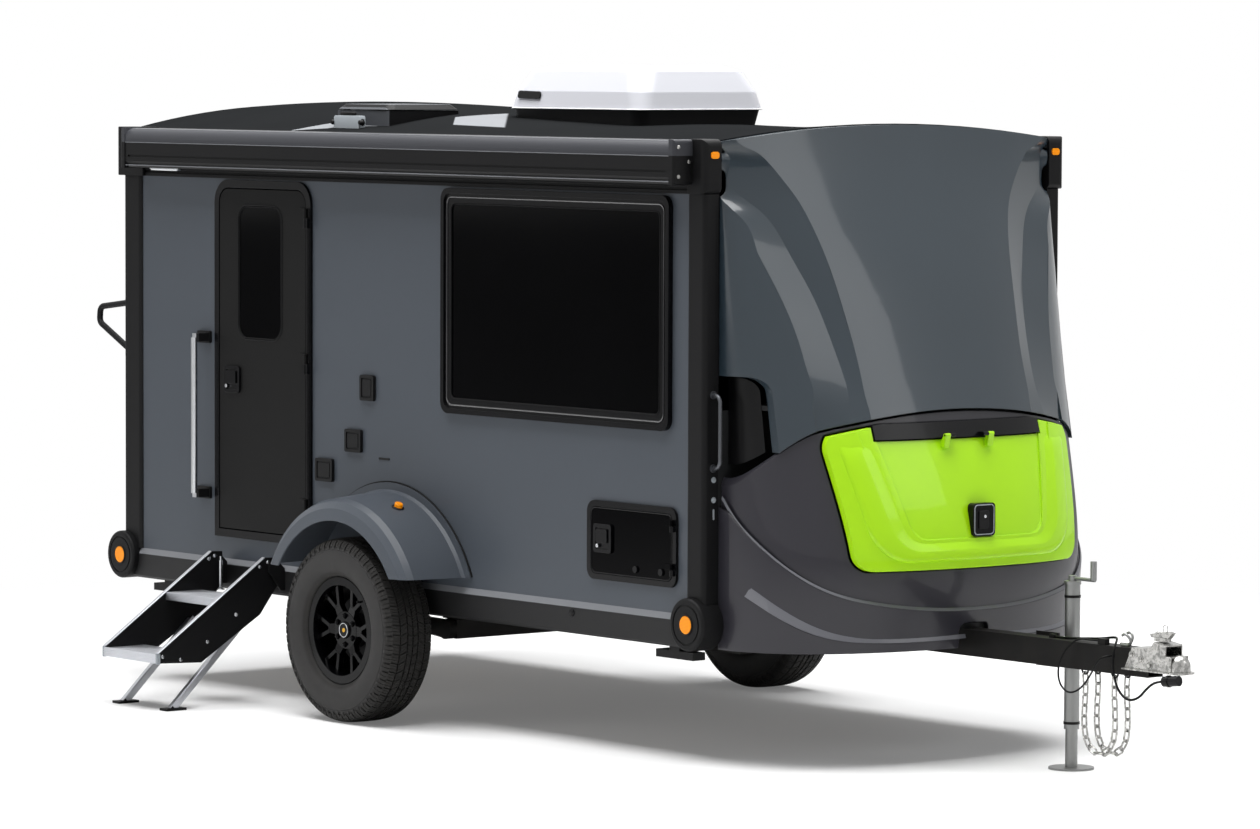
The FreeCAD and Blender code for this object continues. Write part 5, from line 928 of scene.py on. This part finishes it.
# Three thin beads along the edges of the awning's case, grey as painted highlights of those edges.
case_highlight_edges = ((-0.9960, 2.2715, 0.0016), (-0.9680, 2.3265, 0.0018), (-0.9930, 2.1765, 0.0022))
awning_highlight_lines = [bead([(0.151, y, z), (3.755, y, z)], radius, closed=False) for y, z, radius in case_highlight_edges]
piece("awning_highlight_lines", awning_highlight_lines, finishes["painted_highlight_grey"])
lamp_body = [stack((0.355, -0.930, 2.170), (0, 1, 0), (1, 0, 0), 0.034, 0.205, 0.012,
                   ((0, 0), (0.008, 0), (0.014, 0.006)))]
piece("awning_light", lamp_body, finishes["bright"])
screws = []
for x, way in ((0.119, -1), (3.787, 1)):
    for y, z in ((-0.975, 2.305), (-0.975, 2.195), (-0.925, 2.250)):
        screws += bolt((x, y, z), (way, 0, 0), 0.005, 0.003)
piece("awning_screws", screws, finishes["zinc"])
print("body fixings placed")

# %% [markdown]
# ## Roof details
# The air unit has a blank black badge, a thin white seam above its base and an intake grille at the rear. A
# grey junction box with two knobs lies beside the roof vent. The roof is arched, so the box starts a little
# under its surface.

# %% Air unit and junction box
badge = [stack((2.048, -0.3252, 2.483), (1, 0, -0.02), (0, 0.2, 1), 0.145, 0.031, 0.008,
               ((0, 0), (0.003, 0), (0.0045, 0.0015)))]
piece("air_unit_badge", badge, finishes["trim"])
seam_path = loop(0.856, 0.666, 0.071, 12)
seam_path = np.stack([seam_path[:, 0] + 2.325, seam_path[:, 1], np.full(len(seam_path), 2.4305)], -1)
piece("air_unit_seam", [bead(seam_path, 0.0022)], finishes["shroud_seam"])
slats = [block((1.900, y, z), (1.9105, y + 0.20, z + 0.005), 0.0008)
         for z in np.linspace(2.440, 2.490, 5) for y in (-0.24, 0.04)]
piece("air_unit_grille", slats, finishes["plastic"])
junction = [stack((1.4025, -0.7450, 2.338), (1, 0, 0), (0, 1, 0), 0.175, 0.036, 0.006,
                  ((0, 0), (0.050, 0), (0.057, 0.004)))]
piece("roof_junction_box", junction, finishes["steel_grey"])
knobs = [shape for x in (1.312, 1.502)
         for shape in bolt((x, -0.752, 2.368), (0, -1, 0), 0.010, 0.018, sides=12)]
knobs.append(block((1.350, -0.756, 2.3955), (1.440, -0.736, 2.4100), 0.003))
piece("roof_box_knobs", knobs, finishes["plastic"])
print("roof details placed")

# %% [markdown]
# ## Relief on the nose
# The nose is a stack of superellipses: their bulge changes with height. The same formula gives points on
# the skin anywhere, so mouldings can follow it. The lid gets a raised border with a broad bevel down to its
# sunk middle, and the two steps of the fairing get sloping ledges, coloured light grey as a painted highlight.

# %% Lid border and fairing ledges
# Six heights, each with the nose's bulge there.
BULGE = np.array([(0.455, 0.490), (0.600, 0.535), (0.800, 0.552), (1.000, 0.512), (1.280, 0.418),
                  (1.550, 0.325)])
BULGE_FIT = np.polyfit(BULGE[:, 0], BULGE[:, 1], 5)
NOSE_X, NOSE_HALF, POWER = 3.846, 0.824, 2.4
LID_PROUD = 0.015


def nose_skin(y, z, proud):
    """x = start + (bulge(z) + proud) * (1 - |y / half|^n)^(1 / n), with bulge a polynomial in z."""
    share = np.clip(1 - np.abs(y / NOSE_HALF) ** POWER, 0, 1) ** (1 / POWER)
    return NOSE_X + (np.polyval(BULGE_FIT, z) + proud) * share


def rounded_path(corners, radius, steps=14):
    """A polyline in (y, z) whose inner corners are replaced by arcs of the given radius."""
    corners = np.asarray(corners, float)
    pieces = []
    for before, here, after in zip(corners[:-2], corners[1:-1], corners[2:]):
        a = (before - here) / np.linalg.norm(before - here)
        b = (after - here) / np.linalg.norm(after - here)
        half = math.acos(float(np.dot(a, b))) / 2
        middle = here + (a + b) / np.linalg.norm(a + b) * radius / math.sin(half)
        start = here + a * radius / math.tan(half) - middle
        end = here + b * radius / math.tan(half) - middle
        t = np.linspace(0, 1, steps)[:, None]
        turn = math.acos(float(np.dot(start, end)) / radius ** 2)
        pieces.append(middle + (start * np.sin((1 - t) * turn) + end * np.sin(t * turn)) / math.sin(turn))
    run = np.linspace(0, 1, 13)[:, None]
    first = corners[0] + (pieces[0][0] - corners[0]) * run[:-1]
    last = pieces[-1][-1] + (corners[-1] - pieces[-1][-1]) * run[1:]
    between = pieces[0][-1] + (pieces[1][0] - pieces[0][-1]) * run[1:-1]
    return np.concatenate([first, pieces[0], between, pieces[1], last])


def tub_path(grow):
    """The tub's outline, grown outwards, from one end of the hinge bar round to the other."""
    low, high = 0.852 - grow / 2, 1.210
    side = 0.430 + grow - (1.314 - high) * 0.2424
    corners = [(-side, high), (-0.318 - grow, low), (0.318 + grow, low), (side, high)]
    return rounded_path(corners, 0.085 + grow / 2)


# How far the outline grows and how high the row lies: up the outer edge, over the crest, down the bevel.
levels = ((0.160, -0.0040), (0.158, 0.0030), (0.150, 0.0072), (0.140, 0.0085), (0.084, 0.0085),
          (0.074, 0.0070), (0.016, -0.0075), (0.006, -0.0097), (-0.004, -0.0108), (-0.006, -0.0130),
          (0.100, -0.0130))
rows = []
for grow, height in levels:
    path = tub_path(grow)
    # At both ends, over three points, the raised rows sink until they lie 2 mm inside the lid.
    from_end = np.minimum(np.arange(len(path)), np.arange(len(path))[::-1]) / 2.0
    held = np.clip(from_end, 0.0, 1.0) ** 0.5
    lifted = np.where(height > 0, height * held - 0.002 * (1 - held), height)
    x = nose_skin(path[:, 0], path[:, 1], LID_PROUD) + lifted
    rows.append(np.stack([x, path[:, 0], path[:, 1]], -1))
border = (np.concatenate(rows), sheet_faces(len(rows), len(rows[0]), True, False))
piece("lid_border", [border], finishes["lime"], "lid", sharp=50)


def edge_line(line, count=201):
    """A natural cubic spline through (|y|, z) points and their mirror images, over the length of the line.
    The stations crowd towards the ends, where the nose turns back."""
    half = np.asarray(line, float)
    knots = np.concatenate([half[::-1] * (-1, 1), half[1:]])
    s = np.concatenate([[0], np.cumsum(np.linalg.norm(np.diff(knots, axis=0), axis=1))])
    gap = np.diff(s)
    n = len(s)
    system = np.eye(n)
    right = np.zeros((n, 2))
    inner = np.arange(1, n - 1)
    system[inner, inner - 1] = gap[:-1]
    system[inner, inner] = 2 * (gap[:-1] + gap[1:])
    system[inner, inner + 1] = gap[1:]
    slope = np.diff(knots, axis=0) / gap[:, None]
    right[1:-1] = 6 * (slope[1:] - slope[:-1])
    bend = np.linalg.solve(system, right)
    t = np.linspace(0, s[-1], 2000)
    k = np.clip(np.searchsorted(s, t, side="right") - 1, 0, n - 2)
    d, h = (t - s[k])[:, None], gap[k][:, None]
    curve = (knots[k] + d * (slope[k] - h * (2 * bend[k] + bend[k + 1]) / 6) + d ** 2 * bend[k] / 2
             + d ** 3 * (bend[k + 1] - bend[k]) / (6 * h))
    y = NOSE_HALF * np.sin(np.linspace(-1.55, 1.55, count))
    return y, np.interp(y, curve[:, 0], curve[:, 1])


def ledge(line, inner, outer, rise):
    """A sloping strip from the skin above an edge to the skin below it. The edge falls a quarter of what it
    comes forward, and six rounds settle the two; rise is the strip's height over |y|."""
    y, drawn = edge_line(line)
    fall, start_x = 0.25, 3.836
    z = drawn - 0.10
    for _ in range(6):
        z = drawn - fall * (nose_skin(y, z, outer) - start_x)
    tall = rise(np.abs(y))
    top = np.stack([nose_skin(y, z + tall, inner) + 0.0006, y, z + tall], -1)
    edge = np.stack([nose_skin(y, z, outer) + 0.0008, y, z + 0.0005], -1)
    inside = np.stack([nose_skin(y, z, inner) - 0.006, y, z - 0.001], -1)
    return np.concatenate([top, edge, inside]), sheet_faces(3, len(y), True, False)


upper = ledge(((0.0, 0.712), (0.240, 0.7187), (0.460, 0.7375), (0.640, 0.7712), (0.745, 0.8299),
               (0.785, 0.872), (0.810, 0.9155), (0.824, 1.012)), -0.013, 0.0, lambda y: 0.012 + 0 * y)
lower = ledge(((0.0, 0.600), (0.240, 0.5948), (0.460, 0.588), (0.640, 0.5966), (0.785, 0.6566),
               (0.824, 0.690)), 0.0, 0.011,
              lambda y: 0.016 + 0.034 * np.clip((y - 0.45) / 0.37, 0, 1) ** 1.5)
# The ledges wear a light grey that is a painted highlight of the dark fairing.
piece("fairing_ledges", [upper, lower], finishes["ledge"], sharp=40)
print("lid border", len(border[1]), "faces; nose at z 0.9 reaches x", round(float(nose_skin(0, 0.9, 0.0)), 3))

# %% [markdown]
# ## Latches
# The paddle latches of the side door and the hatch get a bright lock barrel each. The front lid's latch gets
# a rim, a paddle and a barrel, which take their place from the node's own face, because the lid leans back.

# %% Lock barrels and the lid's latch
barrel_r = 0.0075
barrel = [(-0.004, 0), (-0.004, barrel_r), (0.003, barrel_r), (0.0042, barrel_r * 0.8), (0.0042, 0)]
for body, place in (("door", (0.760, -0.9035, 1.277)), ("hatch", (3.225, -0.9045, 0.785))):
    piece(body + "_lock", [turned(barrel, np.array(place) + (0, -0.002, 0), (0, -1, 0), 24)],
          finishes["bright"], body)


def read_all(items, field, width):
    """One field of all the vertices or faces of a mesh, as an array with a row for each."""
    values = np.empty(len(items) * width, np.float32)
    items.foreach_get(field, values)
    return values.reshape(len(items), width).astype(float)


def outer_face(node, ahead, upward):
    """Centre, two directions, width and height of the largest flat face that looks ahead."""
    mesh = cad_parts[node].data
    sizes = read_all(mesh.polygons, "area", 1)[:, 0]
    normals = read_all(mesh.polygons, "normal", 3)
    n = normals[np.argmax(sizes * (normals @ np.asarray(ahead, float) > 0.7))]
    v = np.asarray(upward, float) - np.dot(upward, n) * n
    v /= np.linalg.norm(v)
    u = np.cross(v, n)
    points = read_all(mesh.vertices, "co", 3) - SHIFT
    reach = points @ n
    face = points[reach > reach.max() - 0.004]
    a, b = face @ u, face @ v
    centre = u * (a.max() + a.min()) / 2 + v * (b.max() + b.min()) / 2 + n * reach.max()
    return centre, u, v, float(np.ptp(a)), float(np.ptp(b))


centre, u, v, wide, high = outer_face("lid_latch", (1, 0, 0), (0, 0, 1))
rim = loop(wide - 0.014, high - 0.014, 0.014, 7)
rim_path = centre + rim[:, :1] * u + rim[:, 1:] * v
piece("lid_latch_rim", [bead(rim_path, 0.0022)], finishes["steel_grey"], "lid")
paddle = [stack(centre - u * 0.004, u, v, wide * 0.45, high * 0.55, 0.008,
                ((-0.001, 0), (0.0035, 0), (0.0055, 0.002)))]
piece("lid_latch_paddle", paddle, finishes["plastic"], "lid")
piece("lid_latch_lock", [turned([(0, 0), (0, 0.0058), (0.0064, 0.0058), (0.0070, 0.0045), (0.0070, 0)],
                                centre + v * 0.012, np.cross(u, v), 24)], finishes["bright"], "lid")
print("lid latch", round(wide, 3), "x", round(high, 3))

# %% [markdown]
# ## Coupler details
# The coupler is bolted through the tongue and has a lever latch with a spring and a pull ring. The hooks of
# the safety chains lie on the tongue, and three rings stand out on the jack's tube.

# %% Coupler hardware
hardware = []
for x, z in ((5.252, 0.485), (5.300, 0.470), (5.345, 0.452)):
    for way in (-1, 1):
        hardware += bolt((x, way * 0.0433, z), (0, way, 0), 0.0095, 0.007)
spring = np.linspace(0, 2 * math.pi * 7, 160)
coil = np.stack([5.335 + 0.045 * spring / spring[-1], 0.007 * np.cos(spring),
                 0.566 + 0.007 * np.sin(spring)], -1)
hardware.append(bead(coil, 0.0012, 6, closed=False))
pin = [turned([(0, 0), (0, 0.0045), (0.056, 0.0045), (0.056, 0)], (5.330, 0, 0.566), (1, 0, 0), 16)]
ring_a = np.linspace(0, 2 * math.pi, 40, endpoint=False)
ring_path = np.stack([5.395 + 0.012 * np.cos(ring_a), np.full(40, -0.014),
                      0.588 + 0.014 * np.sin(ring_a)], -1)
hardware += pin + [bead(ring_path, 0.0016, 6)]
piece("coupler_hardware", hardware, finishes["zinc"])


def hook(x, y, z, lean):
    """A clevis hook of round bar: a shank, then a half turn, as a bead along an arc."""
    a = np.linspace(-0.5 * math.pi, 0.75 * math.pi, 26)
    arc = np.stack([x + 0.021 * np.cos(a), y + lean * (1 + np.sin(a)) * 0.02, z + 0.021 * np.sin(a)], -1)
    shank = np.array([[x - 0.034, y, z - 0.021], [x - 0.016, y, z - 0.021]])
    return bead(np.concatenate([shank, arc]), 0.0050, 8, closed=False)


piece("chain_hooks", [hook(5.170, 0.012, 0.533, 0.3), hook(5.205, -0.018, 0.533, -0.4)],
      finishes["galvanised"])
jack_rings = [turned([(z, 0.0290), (z, 0.0305), (z + 0.010, 0.0305), (z + 0.010, 0.0290)],
                     (4.715, 0.165, 0), (0, 0, 1), 40, closed=True) for z in (0.168, 0.400, 0.640)]
piece("jack_rings", jack_rings, finishes["chassis"], "jack")
print("coupler hardware placed")

# %% [markdown]
# ## Rear lamps
# Each side has two ribbed red lenses, one over the other, with a dark bezel each. The photograph does not
# show the rear, so these follow what such trailers carry.

# %% Rear lamp bezels
rear = []
for z0, z1 in ((0.900, 1.060), (1.080, 1.160)):
    flat = loop(0.066, z1 - z0 + 0.006, 0.014, 8)
    path = np.stack([np.full(len(flat), -0.0145), flat[:, 0] - 0.7715, flat[:, 1] + (z0 + z1) / 2], -1)
    rear.append(bead(path, 0.0045))
piece("rear_lamp_bezels", rear, finishes["plastic"], both=True)
print("rear lamps framed")

# %% [markdown]
# ## The two cords
# The wiring lead and the breakaway cable hang in loops beside the coupler. Each is a smooth spline through
# the route of its CAD tube, with the same points: weight makes the loops round, and the ends are where the
# real cords are clipped.

# %% Cords
def cord_along(name, route, radius, finish):
    """A round cord: a NURBS spline whose control points are the route's."""
    curve = bpy.data.curves.new(name, "CURVE")
    curve.dimensions = "3D"
    curve.bevel_depth = radius
    curve.bevel_resolution = 4
    curve.resolution_u = 16
    spline = curve.splines.new("NURBS")
    spline.points.add(len(route) - 1)
    for point, place in zip(spline.points, placed(route)):
        point.co = (*place, 1.0)
    spline.order_u = 3
    spline.use_endpoint_u = True
    made = bpy.data.objects.new(name, curve)
    scene.collection.objects.link(made)
    curve.materials.append(finish)
    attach(made, "body")
    return made


WIRING = [(4.800, 0.000, 0.5108), (4.880, 0.000, 0.5108), (4.960, 0.012, 0.5168), (5.040, 0.010, 0.5228),
          (5.115, 0.004, 0.5348), (5.170, -0.036, 0.5348), (5.186, -0.074, 0.4968), (5.192, -0.080, 0.4248),
          (5.218, -0.084, 0.3608), (5.270, -0.084, 0.3208), (5.326, -0.080, 0.3328), (5.362, -0.070, 0.3748),
          (5.392, -0.058, 0.3988), (5.430, -0.053, 0.4028)]
CABLE = [(5.062, -0.023, 0.518), (5.018, -0.023, 0.518), (4.968, -0.050, 0.522), (4.924, -0.074, 0.472),
         (4.902, -0.082, 0.410), (4.914, -0.086, 0.354), (4.958, -0.086, 0.322), (5.010, -0.086, 0.332),
         (5.056, -0.086, 0.368), (5.096, -0.084, 0.422), (5.124, -0.090, 0.458), (5.150, -0.078, 0.472),
         (5.150, -0.044, 0.472)]
lead = cord_along("wiring_lead", WIRING, 0.0045, finishes["sheath"])
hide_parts("wiring_cord")
cable = cord_along("breakaway_cable", CABLE, 0.0035, finishes["sheath"])
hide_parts("brake_cable")


def length_of(made):
    """Length of a curve without its bevel, from its evaluated points."""
    data = made.data.copy()
    data.bevel_depth = 0
    bare = bpy.data.objects.new("bare_line", data)
    line = bpy.data.meshes.new_from_object(bare)
    points = read_all(line.vertices, "co", 3)
    bpy.data.objects.remove(bare)
    bpy.data.curves.remove(data)
    bpy.data.meshes.remove(line)
    return float(np.linalg.norm(np.diff(points, axis=0), axis=1).sum())


for made, route, diameter, end in ((lead, WIRING, 0.009, "plug"), (cable, CABLE, 0.007, "object")):
    length = length_of(made)
    print(made.name, "is", round(length, 3), "m long")
